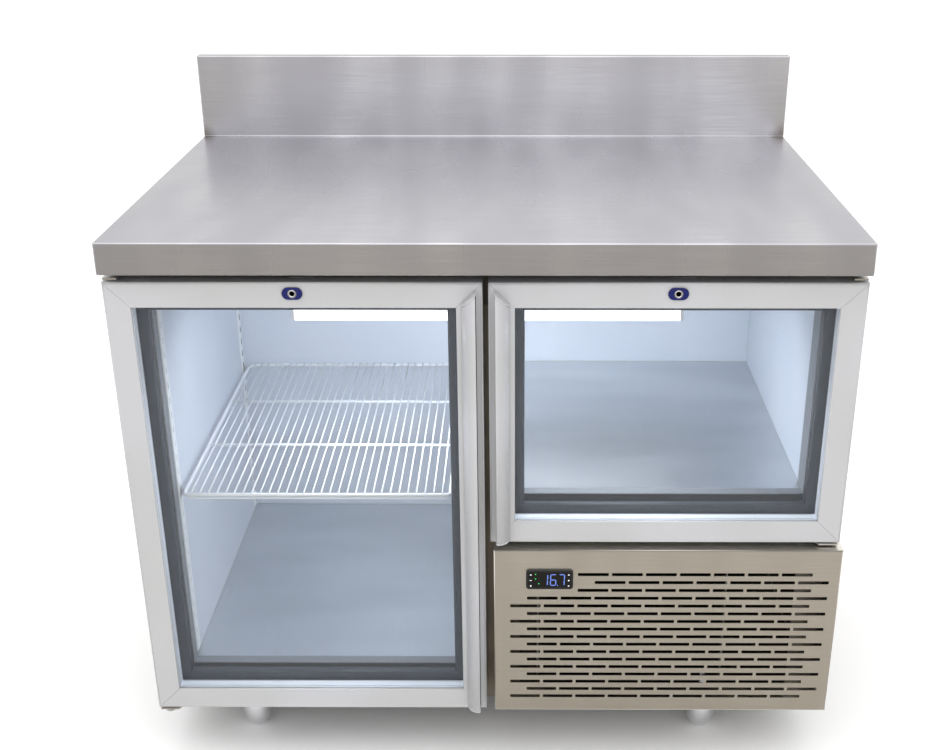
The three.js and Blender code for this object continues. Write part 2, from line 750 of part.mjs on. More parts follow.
// Hinge bracket: a tapered plate with its pin, and a flange against the cabinet face.
// An upper one (way 1) hangs its pin down, a lower one (way -1) stands it up through a washer.
function makeHinge(name, side, low, way, head) {
  const outside = cabinetHalf;
  const high = low + hingePlate;
  const front = doorFront + hingeSetback;
  const back = cabinetFront - seam;
  const { flange, frontWidth, backWidth } = way > 0 ? upperHinge : lowerHinge;
  const plate = outline([
    [outside, front],
    [outside, back],
    [outside - backWidth, back],
    [outside - frontWidth, front],
  ]);
  const body = placed(prism(plate, hingePlate), [0, 0, low], [side, 0, 0], [0, 1, 0], [0, 0, 1]);
  const x = (side * width) / 2 - side * pinFromEdge;
  const y = doorFront + pinFromFront;
  const edges = [side * outside, side * (outside - backWidth)];
  const left = Math.min(...edges);
  const right = Math.max(...edges);
  const flat = box(left, right, back - hingePlate, back, low, high + flange);
  const pieces = [body, flat];
  if (way > 0) {
    pieces.push(uprightCylinder(x, y, low - pinEngagement, high, pinRadius, 16));
  } else {
    pieces.push(uprightCylinder(x, y, low, high + hingeGap + pinEngagement, pinRadius, 16));
    pieces.push(uprightCylinder(x, y, high - weld, high + hingeGap - seam, pinRadius + washerWall, 16));
    pieces.push(uprightCylinder(x, y, low - head, low + weld, pinRadius + pinHeadWall, 16));
  }
  addPart(name, joined(...pieces), stainless);
}

// Slotted cover over the machine compartment: a tray whose returns reach back to the cabinet.
function makeGrille() {
  const slots = [];
  const clearLeft = grilleLeft + controllerLeft + controllerWidth + slotsClearBeside;
  const clearLow = grilleTop - controllerTop - controllerHeight - slotsClearBelow;
  const behind = grilleFront + bigger;
  const firstRow = grilleTop - slotTopMargin;
  for (let row = 0; firstRow - row * slotRowPitch > grilleBottom + slotBottomMargin; row++) {
    const z = firstRow - row * slotRowPitch;
    const first = grilleLeft + slotLeftMargin + ((row % 2) * slotPitch) / 2;
    for (let x = first; x + slotLength < grilleRight - slotRightMargin; x += slotPitch) {
      const besideController = x < clearLeft && z > clearLow;
      if (!besideController) {
        slots.push(box(x, x + slotLength, 0, behind, z - slotHeight / 2, z + slotHeight / 2));
      }
    }
  }
  const [cx, cz] = controllerCentre();
  const holeX = controllerWidth / 2 - controllerOverlap;
  const holeZ = controllerHeight / 2 - controllerOverlap;
  slots.push(box(cx - holeX, cx + holeX, 0, behind, cz - holeZ, cz + holeZ));
  const back = cabinetFront - seam;
  const block = box(grilleLeft, grilleRight, grilleFront, back, grilleBottom, grilleTop);
  const hollow = box(
    grilleLeft + sheet,
    grilleRight - sheet,
    grilleFront + sheet,
    back + bigger,
    grilleBottom + sheet,
    grilleTop - sheet,
  );
  const tray = cut(block, hollow, ...slots);
  addPart("grille_panel", tray, stainless);
}

const controllerCentre = () => [
  grilleLeft + controllerLeft + controllerWidth / 2,
  grilleTop - controllerTop - controllerHeight / 2,
];

function makeController() {
  const [x, z] = controllerCentre();
  const halfWidth = controllerWidth / 2 - controllerOverlap - seam;
  const halfHeight = controllerHeight / 2 - controllerOverlap - seam;
  const rim = roundedRectangle(controllerWidth, controllerHeight, controllerRound);
  const bezel = prism(rim, controllerBezel, 3);
  const front = grilleFront - seam;
  const back = grilleFront + controllerDepth;
  const unit = joined(
    placed(bezel, [x, front, z], [1, 0, 0], [0, 0, 1], [0, -1, 0]),
    box(x - halfWidth, x + halfWidth, front - weld, back, z - halfHeight, z + halfHeight),
  );
  addPart("temperature_controller", unit, blackPlastic);
}

// Adjustable bullet foot: a threaded stud with a turned body that narrows to a rounded tip.
function makeFeet() {
  const h = legHeight - seam;
  const r = footRadius;
  const profile = [
    [0, 0],
    [r * 0.36, 0],
    [r * 0.56, 3],
    [r * 0.74, 8],
    [r * 0.88, 14],
    [r * 0.96, 20],
    [r, 26],
    [r, h],
    [footStud, h],
    [footStud, legHeight + footStudLength],
    [0, legHeight + footStudLength],
  ].map(([x, y]) => new THREE.Vector2(x, y));
  for (const [name, x, y] of footPlaces) {
    const foot = new THREE.LatheGeometry(profile, 16);
    addPart(name, foot.rotateX(Math.PI / 2).translate(x, y, 0), chrome);
  }
}

// A fan whose axis runs front to back: a hub with pitched blades.
function fanWheel(x, y, z, radius) {
  const hub = radius * 0.28;
  const root = hub - 4 * weld;
  const pieces = [levelCylinder(x, z, y, y + fanDepth, hub, 16)];
  for (let i = 0; i < fanBlades; i++) {
    const blade = new THREE.BoxGeometry(radius - root, 2, radius * 0.55);
    blade.rotateX(Math.PI / 5).translate((radius + root) / 2, 0, 0);
    blade.rotateY((i / fanBlades) * Math.PI * 2).translate(x, y + fanDepth / 2, z);
    pieces.push(blade);
  }
  return joined(...pieces);
}

// A ring with a motor held in its middle by a cross of arms.
function fanHousing(x, y, z, radius, plateHalf, motorBack) {
  const shape = outline(rectangle(-plateHalf, plateHalf, -plateHalf, plateHalf));
  const opening = new THREE.Path();
  opening.absarc(0, 0, radius + fanClearance, 0, Math.PI * 2, true);
  shape.holes.push(opening);
  const thickness = 2;
  const plate = placed(prism(shape, thickness, 8), [x, y + thickness, z], [1, 0, 0], [0, 0, 1], [0, -1, 0]);
  const arm = radius * 0.09;
  const leg = 8;
  const strap = 3;
  const end = motorBack + strap;
  return joined(
    plate,
    box(x - plateHalf, x + plateHalf, motorBack, end, z - arm, z + arm),
    box(x - plateHalf, x - plateHalf + leg, y, end, z - arm, z + arm),
    box(x + plateHalf - leg, x + plateHalf, y, end, z - arm, z + arm),
    levelCylinder(x, z, y + fanDepth + fanClearance, end, radius * 0.26, 16),
  );
}

// Fin-and-tube coil: a core between two end plates, with coarse fins round it.
function finCoil(x0, x1, y0, y1, z0, z1) {
  const plate = 3;
  const bays = 12;
  const finHalf = 1;
  const finDeep = 2; // fins stand this far inside the end plates
  const coreDeep = 6;
  const bay = (x1 - x0 - 2 * plate) / bays;
  const block = (left, right, deep) => box(left, right, y0 + deep, y1 - deep, z0 + deep, z1 - deep);
  const core = block(x0 + plate, x1 - plate, coreDeep);
  const pieces = [core, block(x0, x0 + plate, 0), block(x1 - plate, x1, 0)];
  for (let i = 1; i < bays; i++) {
    const x = x0 + plate + i * bay;
    pieces.push(block(x - finHalf, x + finHalf, finDeep));
  }
  return joined(...pieces);
}

// Evaporator hung from the rear of the ceiling: a cover with a fan opening, its fan and its coil
function makeEvaporator() {
  const x = width / 2 - evaporator.fromRight;
  const top = openingTop - evaporator.drop;
  const low = top - evaporator.height;
  const back = linerBack - evaporator.backGap;
  const front = back - evaporator.depth;
  const z = (low + top) / 2;
  const half = evaporator.width / 2;
  const opening = new THREE.Path();
  opening.absarc(x, z, evaporatorFanRadius + fanClearance, 0, Math.PI * 2, true);
  const face = outline(rectangle(x - half, x + half, low, top));
  face.holes.push(opening);
  const strapFront = front + 40;
  const strapHalf = 5;
  const motor = { radius: 14, front: front + 28, back: front + 42 };
  const housing = joined(
    frontPlate(face, front, front + sheet),
    box(x - half, x - half + sheet, front, back, low, top),
    box(x + half - sheet, x + half, front, back, low, top),
    box(x - half, x + half, front, back, low, low + sheet),
    box(x - half, x + half, strapFront, strapFront + 2 * sheet, z - strapHalf, z + strapHalf),
    levelCylinder(x, z, motor.front, motor.back, motor.radius, 16),
  );
  addPart("evaporator_housing", housing, stainless);
  addPart("evaporator_fan", fanWheel(x, front + fanClearance, z, evaporatorFanRadius), blackPlastic);
  const coilHalf = half - 12;
  const coil = finCoil(x - coilHalf, x + coilHalf, front + 60, back - 6, low + 10, top - 8);
  addPart("evaporator_coil", coil, finAluminium);
}

// Condensing unit on the base panel: coil behind the slotted cover, its fan, and the compressor
function makeCondensingUnit() {
  const floor = legHeight + sheet + seam;
  const x = machineLeft + condenser.fromLeft;
  const half = condenser.width / 2;
  const front = jambBack + condenser.frontGap;
  const back = front + condenser.depth;
  const top = machineTop - condenser.headroom;
  const plateLow = floor + condenserFan.lift;
  const plateTop = machineTop - condenserFan.headroom;
  const plateHalf = (plateTop - plateLow) / 2;
  const z = (plateTop + plateLow) / 2;
  const radius = plateHalf - condenserFan.rim;
  const motorBack = back + condenserFan.motorReach;
  const ring = fanHousing(x, back + condenserFan.gap, z, radius, plateHalf, motorBack);
  addPart("condenser_coil", finCoil(x - half, x + half, front, back, floor, top), finAluminium);
  addPart("condenser_fan_housing", ring, blackSteel);
  addPart("condenser_fan", fanWheel(x, back + 10, z, radius), blackPlastic);
  const r = compressor.radius;
  const h = compressor.height;
  const shell = [
    [0, 0],
    [r * 0.92, 0],
    [r, h * 0.11],
    [r, h * 0.7],
    [r * 0.87, h * 0.89],
    [r * 0.4, h],
    [0, h],
  ].map(([across, up]) => new THREE.Vector2(across, up));
  const cx = machineRight - compressor.fromRight;
  const cy = cabinetBack - compressor.fromBack;
  const dome = new THREE.LatheGeometry(shell, 20).rotateX(Math.PI / 2);
  dome.translate(cx, cy, floor + compressor.lift);
  const halfX = compressorPlate.length / 2;
  const halfY = compressorPlate.depth / 2;
  const mount = box(cx - halfX, cx + halfX, cy - halfY, cy + halfY, floor, floor + compressorPlate.thickness);
  addPart("compressor", joined(dome, mount), blackSteel);
}

// Gland where the mains lead passes the rear panel.
const glandPlace = () => [machineRight - glandFromRight, legHeight + glandHeight];

function makeGland() {
  const [x, z] = glandPlace();
  const neck = 1.5;
  const nut = { radius: glandRadius + 4, back: cabinetBack + 6 };
  const gland = joined(
    levelCylinder(x, z, cabinetBack - sheet - 6, cabinetBack + 2, glandRadius, 16),
    levelCylinder(x, z, cabinetBack + seam, nut.back, nut.radius, 6),
    levelCylinder(x, z, nut.back - weld, nut.back + 8, glandRadius - neck, 16),
  );
  const passage = levelCylinder(x, z, cabinetBack - 2 * bigger, cabinetBack + 2 * bigger, 4, 12);
  addPart("cable_gland", cut(gland, passage), blackPlastic);
}

makeWorktop();
makeSidePanel("left_side_panel", -1, floorTop);
makeSidePanel("right_side_panel", 1, deckTop);
makeRearPanel();
makeBasePanel();
makeHeader();
makeMullion();
makeRightSill();
makeInsulation();
makeLiner();
makeUprights();
makeShelf();
makeLamp();
makeDoor("left_door", -1, leftDoorBottom);
makeDoor("right_door", 1, rightDoorBottom);
makeGrille();
makeController();
makeFeet();
makeEvaporator();
makeCondensingUnit();
makeGland();

const frontmost = doorFront - seam - handleHeight;
group.position.set(-grilleSideOverhang / 2, -(frontmost + depth) / 2, 0);

export default group;
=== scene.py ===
import json
import math

import bmesh
import bpy
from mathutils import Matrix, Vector


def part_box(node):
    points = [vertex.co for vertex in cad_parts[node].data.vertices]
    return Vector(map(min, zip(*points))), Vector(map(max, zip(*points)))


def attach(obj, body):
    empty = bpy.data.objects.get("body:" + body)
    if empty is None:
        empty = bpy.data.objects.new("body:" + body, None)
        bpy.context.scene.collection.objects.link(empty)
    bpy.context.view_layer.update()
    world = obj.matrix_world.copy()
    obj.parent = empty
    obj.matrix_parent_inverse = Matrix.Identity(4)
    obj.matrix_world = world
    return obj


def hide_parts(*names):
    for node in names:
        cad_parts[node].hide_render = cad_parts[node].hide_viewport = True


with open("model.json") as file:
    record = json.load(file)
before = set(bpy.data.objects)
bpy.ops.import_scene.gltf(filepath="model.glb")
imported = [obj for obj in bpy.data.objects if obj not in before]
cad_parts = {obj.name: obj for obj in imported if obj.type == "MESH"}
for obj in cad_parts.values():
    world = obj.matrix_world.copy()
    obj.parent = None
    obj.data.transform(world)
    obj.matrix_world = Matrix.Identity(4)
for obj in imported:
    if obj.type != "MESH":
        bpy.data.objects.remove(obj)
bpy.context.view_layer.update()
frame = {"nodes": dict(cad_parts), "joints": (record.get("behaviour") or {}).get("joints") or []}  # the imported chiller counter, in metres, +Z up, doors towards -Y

mm = 0.001
print("frame loaded:", len(frame["nodes"]), "nodes")


# sRGB hex to the linear colour that shaders take
def linear(code):
    parts = [int(code[i : i + 2], 16) / 255 for i in (1, 3, 5)]
    return [c / 12.92 if c <= 0.04045 else ((c + 0.055) / 1.055) ** 2.4 for c in parts] + [1.0]


# One node with its values; a key is an input's name or index, or else a property, and sockets are linked
def addNode(tree, kind, values=None):
    node = tree.nodes.new(kind)
    for key, value in (values or {}).items():
        sources = value if isinstance(value, list) else [value]
        if isinstance(sources[0], bpy.types.NodeSocket):
            for source in sources:
                tree.links.new(source, node.inputs[key])
        elif isinstance(key, int) or key in node.inputs:
            node.inputs[key].default_value = value
        else:
            setattr(node, key, value)
    return node


# The same, where only the node's first output is wanted
def nodeOut(tree, kind, values=None):
    return addNode(tree, kind, values).outputs[0]


def startMaterial(name, colour, metallic=0.0, roughness=0.5):
    material = bpy.data.materials.new(name)
    material.use_nodes = True
    tree = material.node_tree
    shader = tree.nodes["Principled BSDF"]
    shader.inputs["Base Color"].default_value = linear(colour)
    shader.inputs["Metallic"].default_value = metallic
    shader.inputs["Roughness"].default_value = roughness
    place = addNode(tree, "ShaderNodeTexCoord").outputs["Object"]
    return material, tree, shader, place


# Noise whose cells measure size (x, y, z) in millimetres
def noiseField(tree, place, size, detail=3.0, rough=0.5):
    scale = [1 / (s * mm) for s in size]
    scaled = nodeOut(tree, "ShaderNodeMapping", {"Scale": scale, "Vector": place})
    values = {"Scale": 1.0, "Detail": detail, "Roughness": rough, "Vector": scaled}
    return nodeOut(tree, "ShaderNodeTexNoise", values)


# A value between two levels turned smoothly into a range
def spread(tree, value, low, high, fromLow=0.3, fromHigh=0.7):
    values = {"interpolation_type": "SMOOTHSTEP", "From Min": fromLow, "From Max": fromHigh}
    values |= {"To Min": low, "To Max": high, "Value": value}
    return nodeOut(tree, "ShaderNodeMapRange", values)


def mixColour(tree, factor, first, second):
    first, second = [linear(c) if isinstance(c, str) else c for c in (first, second)]
    return addNode(tree, "ShaderNodeMix", {"data_type": "RGBA", 0: factor, 6: first, 7: second}).outputs[2]


def bumpFrom(tree, shader, height, strength, depth):
    values = {"Strength": strength, "Distance": depth * mm, "Height": height}
    tree.links.new(nodeOut(tree, "ShaderNodeBump", values), shader.inputs["Normal"])


# Stainless sheet, belt brushed: fine lines along the grain, a soft sheen across it, and the
# slow waves of a thin sheet, which vary the gloss and also darken the colour in broad bands as a painted
# reflection of the surroundings. The lines are really about 0.2 mm apart, drawn coarser so they show.
def brushedStainless(name, light, dark, grain, roughness=(0.26, 0.36), heatMarks=()):
    material, tree, shader, place = startMaterial(name, light, 1.0)
    lineSize = [1.4, 1.4, 1.4]
    lineSize["xyz".index(grain)] = 120
    waveSize = [260, 260, 260]
    waveSize["xyz".index(grain)] = 75
    lines = noiseField(tree, place, lineSize, 2.0, 0.5)
    wavesAndPaintedReflection = noiseField(tree, place, waveSize, 1.0, 0.4)
    lineColour = mixColour(tree, spread(tree, lines, 0.0, 0.6, 0.2, 0.8), light, dark)
    # broad darker bands from the waves: painted reflection of the surroundings in the steel
    colour = mixColour(tree, spread(tree, wavesAndPaintedReflection, 0.0, 0.8, 0.2, 0.8), lineColour, dark)
    for corner in heatMarks:  # brown tint that welding leaves
        away = addNode(tree, "ShaderNodeVectorMath", {"operation": "DISTANCE", 0: place, 1: corner})
        values = {"operation": "MULTIPLY_ADD", 0: wavesAndPaintedReflection, 1: 0.04, 2: away.outputs["Value"]}
        near = spread(tree, nodeOut(tree, "ShaderNodeMath", values), 0.6, 0.0, 0.02, 0.05)
        colour = mixColour(tree, near, colour, "#6b5e52")
    tree.links.new(colour, shader.inputs["Base Color"])
    tree.links.new(spread(tree, wavesAndPaintedReflection, *roughness, 0.1, 0.9), shader.inputs["Roughness"])
    bumpFrom(tree, shader, lines, 0.03, 0.02)
    return material


# Powder coat on aluminium: an even colour with the slight orange peel of baked powder
def powderCoat(name, colour, shade, roughness=0.36):
    material, tree, shader, place = startMaterial(name, colour, 0.0, roughness)
    peel = noiseField(tree, place, (0.9, 0.9, 0.9), 2.0)
    drift = noiseField(tree, place, (190, 190, 190), 1.0)
    tint = mixColour(tree, spread(tree, drift, 0, 1), shade, colour)
    tree.links.new(tint, shader.inputs["Base Color"])
    tree.links.new(spread(tree, peel, roughness - 0.05, roughness + 0.06), shader.inputs["Roughness"])
    bumpFrom(tree, shader, peel, 0.14, 0.04)
    return material


# Moulded plastic: fine spark-eroded grain, a little uneven in gloss
def mouldedPlastic(name, colour, roughness=0.45, grainSize=0.5, strength=0.2):
    material, tree, shader, place = startMaterial(name, colour, 0.0, roughness)
    grain = noiseField(tree, place, (grainSize,) * 3, 2.0)
    tree.links.new(spread(tree, grain, roughness - 0.08, roughness + 0.1), shader.inputs["Roughness"])
    bumpFrom(tree, shader, grain, strength, 0.03)
    return material


# Polished or drawn metal, with faint smears in its gloss
def bareMetal(name, colour, roughness, smear=0.06, size=(9, 9, 9)):
    material, tree, shader, place = startMaterial(name, colour, 1.0, roughness)
    smears = noiseField(tree, place, size, 3.0)
    gloss = spread(tree, smears, max(roughness - smear, 0.02), roughness + smear)
    tree.links.new(gloss, shader.inputs["Roughness"])
    return material


# Extruded rubber: matte, with drawn streaks along the strip
def extrudedRubber(name, colour, roughness=0.7):
    material, tree, shader, place = startMaterial(name, colour, 0.0, roughness)
    streaks = noiseField(tree, place, (2.5, 2.5, 30), 2.0)
    tint = mixColour(tree, spread(tree, streaks, 0, 0.3), colour, "#3c4046")
    tree.links.new(tint, shader.inputs["Base Color"])
    bumpFrom(tree, shader, streaks, 0.15, 0.05)
    return material


# Float glass seen nearly square on: a thin grey-blue veil and a clear gloss
def floatGlass(name, tint, veil):
    material, tree, shader, place = startMaterial(name, tint, 0.0, 0.02)
    shader.inputs["Alpha"].default_value = veil
    shader.inputs["Coat Weight"].default_value = 0.0
    film = noiseField(tree, place, (160, 160, 160), 2.0)
    tree.links.new(spread(tree, film, 0.01, 0.05), shader.inputs["Roughness"])
    return material


# A surface that gives its own light, such as a diffuser or a display segment
def glowing(name, colour, strength, base="#ffffff"):
    material, tree, shader, place = startMaterial(name, base, 0.0, 0.4)
    shader.inputs["Emission Color"].default_value = linear(colour)
    shader.inputs["Emission Strength"].default_value = strength
    haze = noiseField(tree, place, (30, 30, 30), 1.0)
    tree.links.new(spread(tree, haze, 0.35, 0.5), shader.inputs["Roughness"])
    return material


# where the upstand's ends are welded to the worktop
weldMake = {"inset": 4 * mm, "upstand": 20 * mm, "level": 0.906}
upstandCorners = [
    (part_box("worktop")[side].x + inset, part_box("worktop")[1].y - weldMake["upstand"], weldMake["level"])
    for side, inset in ((0, weldMake["inset"]), (1, -weldMake["inset"]))
]
steelTop = brushedStainless("worktopStainless", "#d9d8dc", "#b7b6bb", "x", (0.22, 0.32), upstandCorners)
steelCase = brushedStainless("caseStainless", "#c4c1bc", "#bab7b1", "z")
# half-dark steel for the centre mullion: painted shade of the gap between the doors
steelHalfShade = brushedStainless("mullionStainlessPaintedShade", "#8b857c", "#79746b", "z", (0.32, 0.42))
# darker steel for the base, header and sill: painted shade of the narrow gaps they sit in
steelShadow = brushedStainless("sillStainlessPaintedShade", "#65615c", "#57544f", "x", (0.35, 0.45))
steelCover = brushedStainless("coverStainless", "#eae7e1", "#d8d3ca", "x", (0.28, 0.38))
steelFloor = brushedStainless("floorStainless", "#e2e4e5", "#ced2d4", "y", (0.34, 0.46))
# the white liner coat is tinted blue-grey: painted cool light from the inside lamp
linerCoat = powderCoat("linerWhiteCoat", "#d6dce5", "#ced6e0", 0.3)
frameCoat = powderCoat("doorGreyCoat", "#c3c3c6", "#bdbdbd", 0.3)
wireCoat = powderCoat("shelfWhiteCoat", "#f4f6f8", "#e9edf0", 0.3)
blackPaint = powderCoat("compressorBlackPaint", "#222326", "#2b2c2f", 0.42)
paneGlass = floatGlass("paneFloatGlass", "#c6ccd6", 0.03)
spacerAnodised = powderCoat("spacerAnodised", "#e2e8f0", "#d9e0e9", 0.35)  # matte, like a fine coat
finBlack = bareMetal("paintedCondenserFin", "#1c1d1f", 0.5, 0.1, (4, 4, 4))
finMill = bareMetal("finAluminium", "#b9bec2", 0.42, 0.1, (4, 4, 4))
copperTube = bareMetal("drawnCopper", "#c4805a", 0.28, 0.08)
chromePlate = bareMetal("polishedChrome", "#dcdcde", 0.08, 0.03)
plugNickel = bareMetal("nickelPlatedBrass", "#8d8c88", 0.22, 0.05)
zincPlate = bareMetal("zincPlatedSteel", "#c3c3c0", 0.3, 0.1, (3, 3, 3))
gasketRubber = extrudedRubber("gasketRubber", "#4c5054", 0.6)
beadRubber = extrudedRubber("glazingBead", "#30353b", 0.45)
breakerPlastic = mouldedPlastic("breakerStripGrey", "#7b7f83", 0.5)
# near-black: the dark seams of the handle, and painted shade in the slots, the keyway and the cover's
# overhang
seamAndShadeBlack = extrudedRubber("shadowGap", "#1d1f21", 0.8)
lockBlue = mouldedPlastic("lockNavyPlastic", "#0b1660", 0.2, 0.8, 0.05)
blackPlastic = mouldedPlastic("controllerBlackPlastic", "#1b1c1f", 0.42)
windowPlastic = mouldedPlastic("displayWindow", "#07080a", 0.12, 2.0, 0.02)
fanPlastic = mouldedPlastic("fanBlackNylon", "#1c1d1e", 0.5)
foamYellow = mouldedPlastic("rigidFoam", "#d9cfa6", 0.9, 1.2, 0.6)
lampGlow = glowing("lampDiffuser", "#f2f7ff", 2.6)
digitGlow = glowing("digitBlueWhite", "#7f9dff", 0.95, "#202a50")
ledGreen = glowing("ledGreen", "#35e05a", 2.6, "#1d5c2a")
# printed key marks made to glow faintly: painted light, since print gives none
printWhiteGlow = glowing("printedWhitePaintedGlow", "#dfe3e8", 0.25)
print("materials made:", len(bpy.data.materials))


def addBox(bm, low, high, radius=0.0, segments=2):
    verts = bmesh.ops.create_cube(bm, size=1)["verts"]
    for v in verts:
        v.co = Vector([a + (b - a) * (c + 0.5) for a, b, c in zip(low, high, v.co)])
    if radius:
        edges = list({e for v in verts for e in v.link_edges})
        roundOff(bm, edges, radius, segments)


def roundOff(bm, edges, radius, segments):
    made = bmesh.ops.bevel(
        bm, geom=edges, offset=radius, segments=segments, affect="EDGES", profile=0.5, clamp_overlap=True
    )
    for face in made["faces"]:
        face.smooth = True


# A turned shape: (radius, height) pairs round an axis from a foot point
def addTurned(bm, foot, axis, profile, sides=32):
    turn = Vector((0, 0, 1)).rotation_difference(Vector(axis)).to_matrix()
    rings = []
    for radius, height in profile:
        if radius < 1e-7:
            rings.append([bm.verts.new(turn @ Vector((0, 0, height)) + Vector(foot))])
            continue
        ring = []
        for i in range(sides):
            a = 2 * math.pi * i / sides
            point = Vector((radius * math.cos(a), radius * math.sin(a), height))
            ring.append(bm.verts.new(turn @ point + Vector(foot)))
        rings.append(ring)
    for lower, upper in zip(rings, rings[1:]):
        for i in range(sides):
            j = (i + 1) % sides
            if len(lower) == 1 and len(upper) == 1:
                continue
            if len(lower) == 1:
                face = bm.faces.new((lower[0], upper[j], upper[i]))
            elif len(upper) == 1:
                face = bm.faces.new((lower[i], lower[j], upper[0]))
            else:
                face = bm.faces.new((lower[i], lower[j], upper[j], upper[i]))
            face.smooth = True
    for ring, last in ((rings[0], False), (rings[-1], True)):
        if len(ring) > 1:
            bm.faces.new(ring if last else ring[::-1])


def addRod(bm, start, end, radius, sides=16, edge=0.0):
    along = Vector(end) - Vector(start)
    length = along.length
    profile = [(radius, 0), (radius, length)]
    if edge:
        profile = [(radius - edge, 0), (radius, edge), (radius, length - edge), (radius - edge, length)]
    addTurned(bm, start, along.normalized(), profile, sides)


# A round tube along points; a closed one joins its ends
def addTube(bm, points, radius, sides=10, closed=False):
    points = [Vector(p) for p in points]
    count = len(points)
    rings = []
    side = None
    for i, point in enumerate(points):
        before = points[(i - 1) % count] if closed or i else point
        after = points[(i + 1) % count] if closed or i < count - 1 else point
        heading = (after - before).normalized()
        if side is None:
            side = heading.orthogonal().normalized()
        side = (side - heading * side.dot(heading)).normalized()
        other = heading.cross(side)
        ring = []
        for k in range(sides):
            a = 2 * math.pi * k / sides
            ring.append(bm.verts.new(point + (side * math.cos(a) + other * math.sin(a)) * radius))
        rings.append(ring)
    pairs = list(zip(rings, rings[1:])) + ([(rings[-1], rings[0])] if closed else [])
    for lower, upper in pairs:
        for k in range(sides):
            m = (k + 1) % sides
            bm.faces.new((lower[k], lower[m], upper[m], upper[k])).smooth = True
    if not closed:
        bm.faces.new(rings[0][::-1])
        bm.faces.new(rings[-1])


# Corners of an outline swapped for arcs; radii go with the points
def filleted(points, radii, steps=5):
    made = []
    count = len(points)
    for i, (point, radius) in enumerate(zip(points, radii)):
        corner = Vector(point)
        if not radius:
            made.append(tuple(corner))
            continue
        before = (Vector(points[i - 1]) - corner).normalized()
        after = (Vector(points[(i + 1) % count]) - corner).normalized()
        half = before.angle(after) / 2
        reach = radius / math.tan(half)
        centre = corner + (before + after).normalized() * (radius / math.sin(half))
        start = corner + before * reach - centre
        end = corner + after * reach - centre
        sweep = start.angle(end)
        for k in range(steps + 1):
            t = k / steps
            mix = (start * math.sin((1 - t) * sweep) + end * math.sin(t * sweep)) / math.sin(sweep)
            made.append(tuple(centre + mix))
    return made


# An outline swept straight: each end's distance along may depend on the outline's first number
def addSwept(bm, loops, origin, uDir, vDir, along, startAt, endAt, smoothBelow=3.2 * mm):
    uDir, vDir, along = Vector(uDir), Vector(vDir), Vector(along)
    turned = uDir.cross(vDir).dot(along) < 0
    ends = [[], []]
    for loop in loops:
        rows = []
        for place in (startAt, endAt):
            points = [Vector(origin) + uDir * u + vDir * v + along * place(u) for u, v in loop]
            rows.append([bm.verts.new(point) for point in points])
        count = len(loop)
        for i in range(count):
            j = (i + 1) % count
            quad = (rows[0][i], rows[0][j], rows[1][j], rows[1][i])
            face = bm.faces.new(quad[::-1] if turned else quad)
            face.smooth = (Vector(loop[i]) - Vector(loop[j])).length < smoothBelow
        for end, row in zip(ends, rows):
            end += [bm.edges.get((row[i], row[(i + 1) % count])) for i in range(count)]
    for end in ends:
        made = bmesh.ops.triangle_fill(bm, use_beauty=True, edges=end)
        for face in made["geom"]:
            if isinstance(face, bmesh.types.BMFace):
                face.smooth = False


# A section swept round the four sides of a box's front, with mitred corners
def addRing(bm, section, low, high, smoothBelow=3.2 * mm):
    width, height = high.x - low.x, high.z - low.z
    sides = (
        (low.x, low.z, (1, 0, 0), (0, 0, 1), height),
        (high.x, low.z, (-1, 0, 0), (0, 0, 1), height),
        (low.x, low.z, (0, 0, 1), (1, 0, 0), width),
        (low.x, high.z, (0, 0, -1), (1, 0, 0), width),
    )
    for x, z, across, along, length in sides:
        place, back = (x, low.y, z), (0, 1, 0)
        addSwept(bm, [section], place, across, back, along, lambda u: u, lambda u: length - u, smoothBelow)


def asObject(name, bm, material, outward=True):
    if outward:
        bmesh.ops.recalc_face_normals(bm, faces=bm.faces)
    mesh = bpy.data.meshes.new(name)
    bm.to_mesh(mesh)
    bm.free()
    piece = bpy.data.objects.new(name, mesh)
    bpy.context.scene.collection.objects.link(piece)
    if material:
        mesh.materials.append(material)
    return piece


def settle(piece, body, slot, *nodes):
    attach(piece, body)
    if nodes:
        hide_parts(*nodes)
    return piece


def madePiece(name, bm, material, body, slot, *nodes):
    return settle(asObject(name, bm, material), body, slot, *nodes)


# Applies a piece's modifiers by taking its evaluated mesh
def bakeDown(piece):
    graph = bpy.context.evaluated_depsgraph_get()
    mesh = bpy.data.meshes.new_from_object(piece.evaluated_get(graph))
    piece.modifiers.clear()
    piece.data = mesh
    return piece


def carve(piece, cutters):
    for cutter in cutters:
        change = piece.modifiers.new("carve", "BOOLEAN")
        change.operation = "DIFFERENCE"
        change.solver = "EXACT"
        change.object = cutter
    bakeDown(piece)
    for cutter in cutters:
        bpy.data.objects.remove(cutter)
    return piece


# Another finish for a CAD node that stays as it is
def finishNode(node, material):
    materials = frame["nodes"][node].data.materials
    materials.clear()
    materials.append(material)


# A copy of a CAD node with its flat faces joined and its sharp edges rounded
def softened(node, name, material, body, slot, radius=0.6 * mm, segments=2):
    bm = bmesh.new()
    bm.from_mesh(frame["nodes"][node].data)
    bmesh.ops.remove_doubles(bm, verts=bm.verts, dist=0.02 * mm)
    bmesh.ops.dissolve_limit(bm, angle_limit=math.radians(1), verts=bm.verts, edges=bm.edges)
    for face in bm.faces:
        face.smooth = any(0.03 < e.calc_face_angle(0) < 0.5 for e in face.edges)
    sharp = [e for e in bm.edges if e.calc_face_angle(0) > 0.6]
    roundOff(bm, sharp, radius, segments)
    return madePiece(name, bm, material, body, slot, node)


socketKinds = {
    "length": "NodeSocketFloat",
    "count": "NodeSocketInt",
    "place": "NodeSocketVector",
    "material": "NodeSocketMaterial",
}


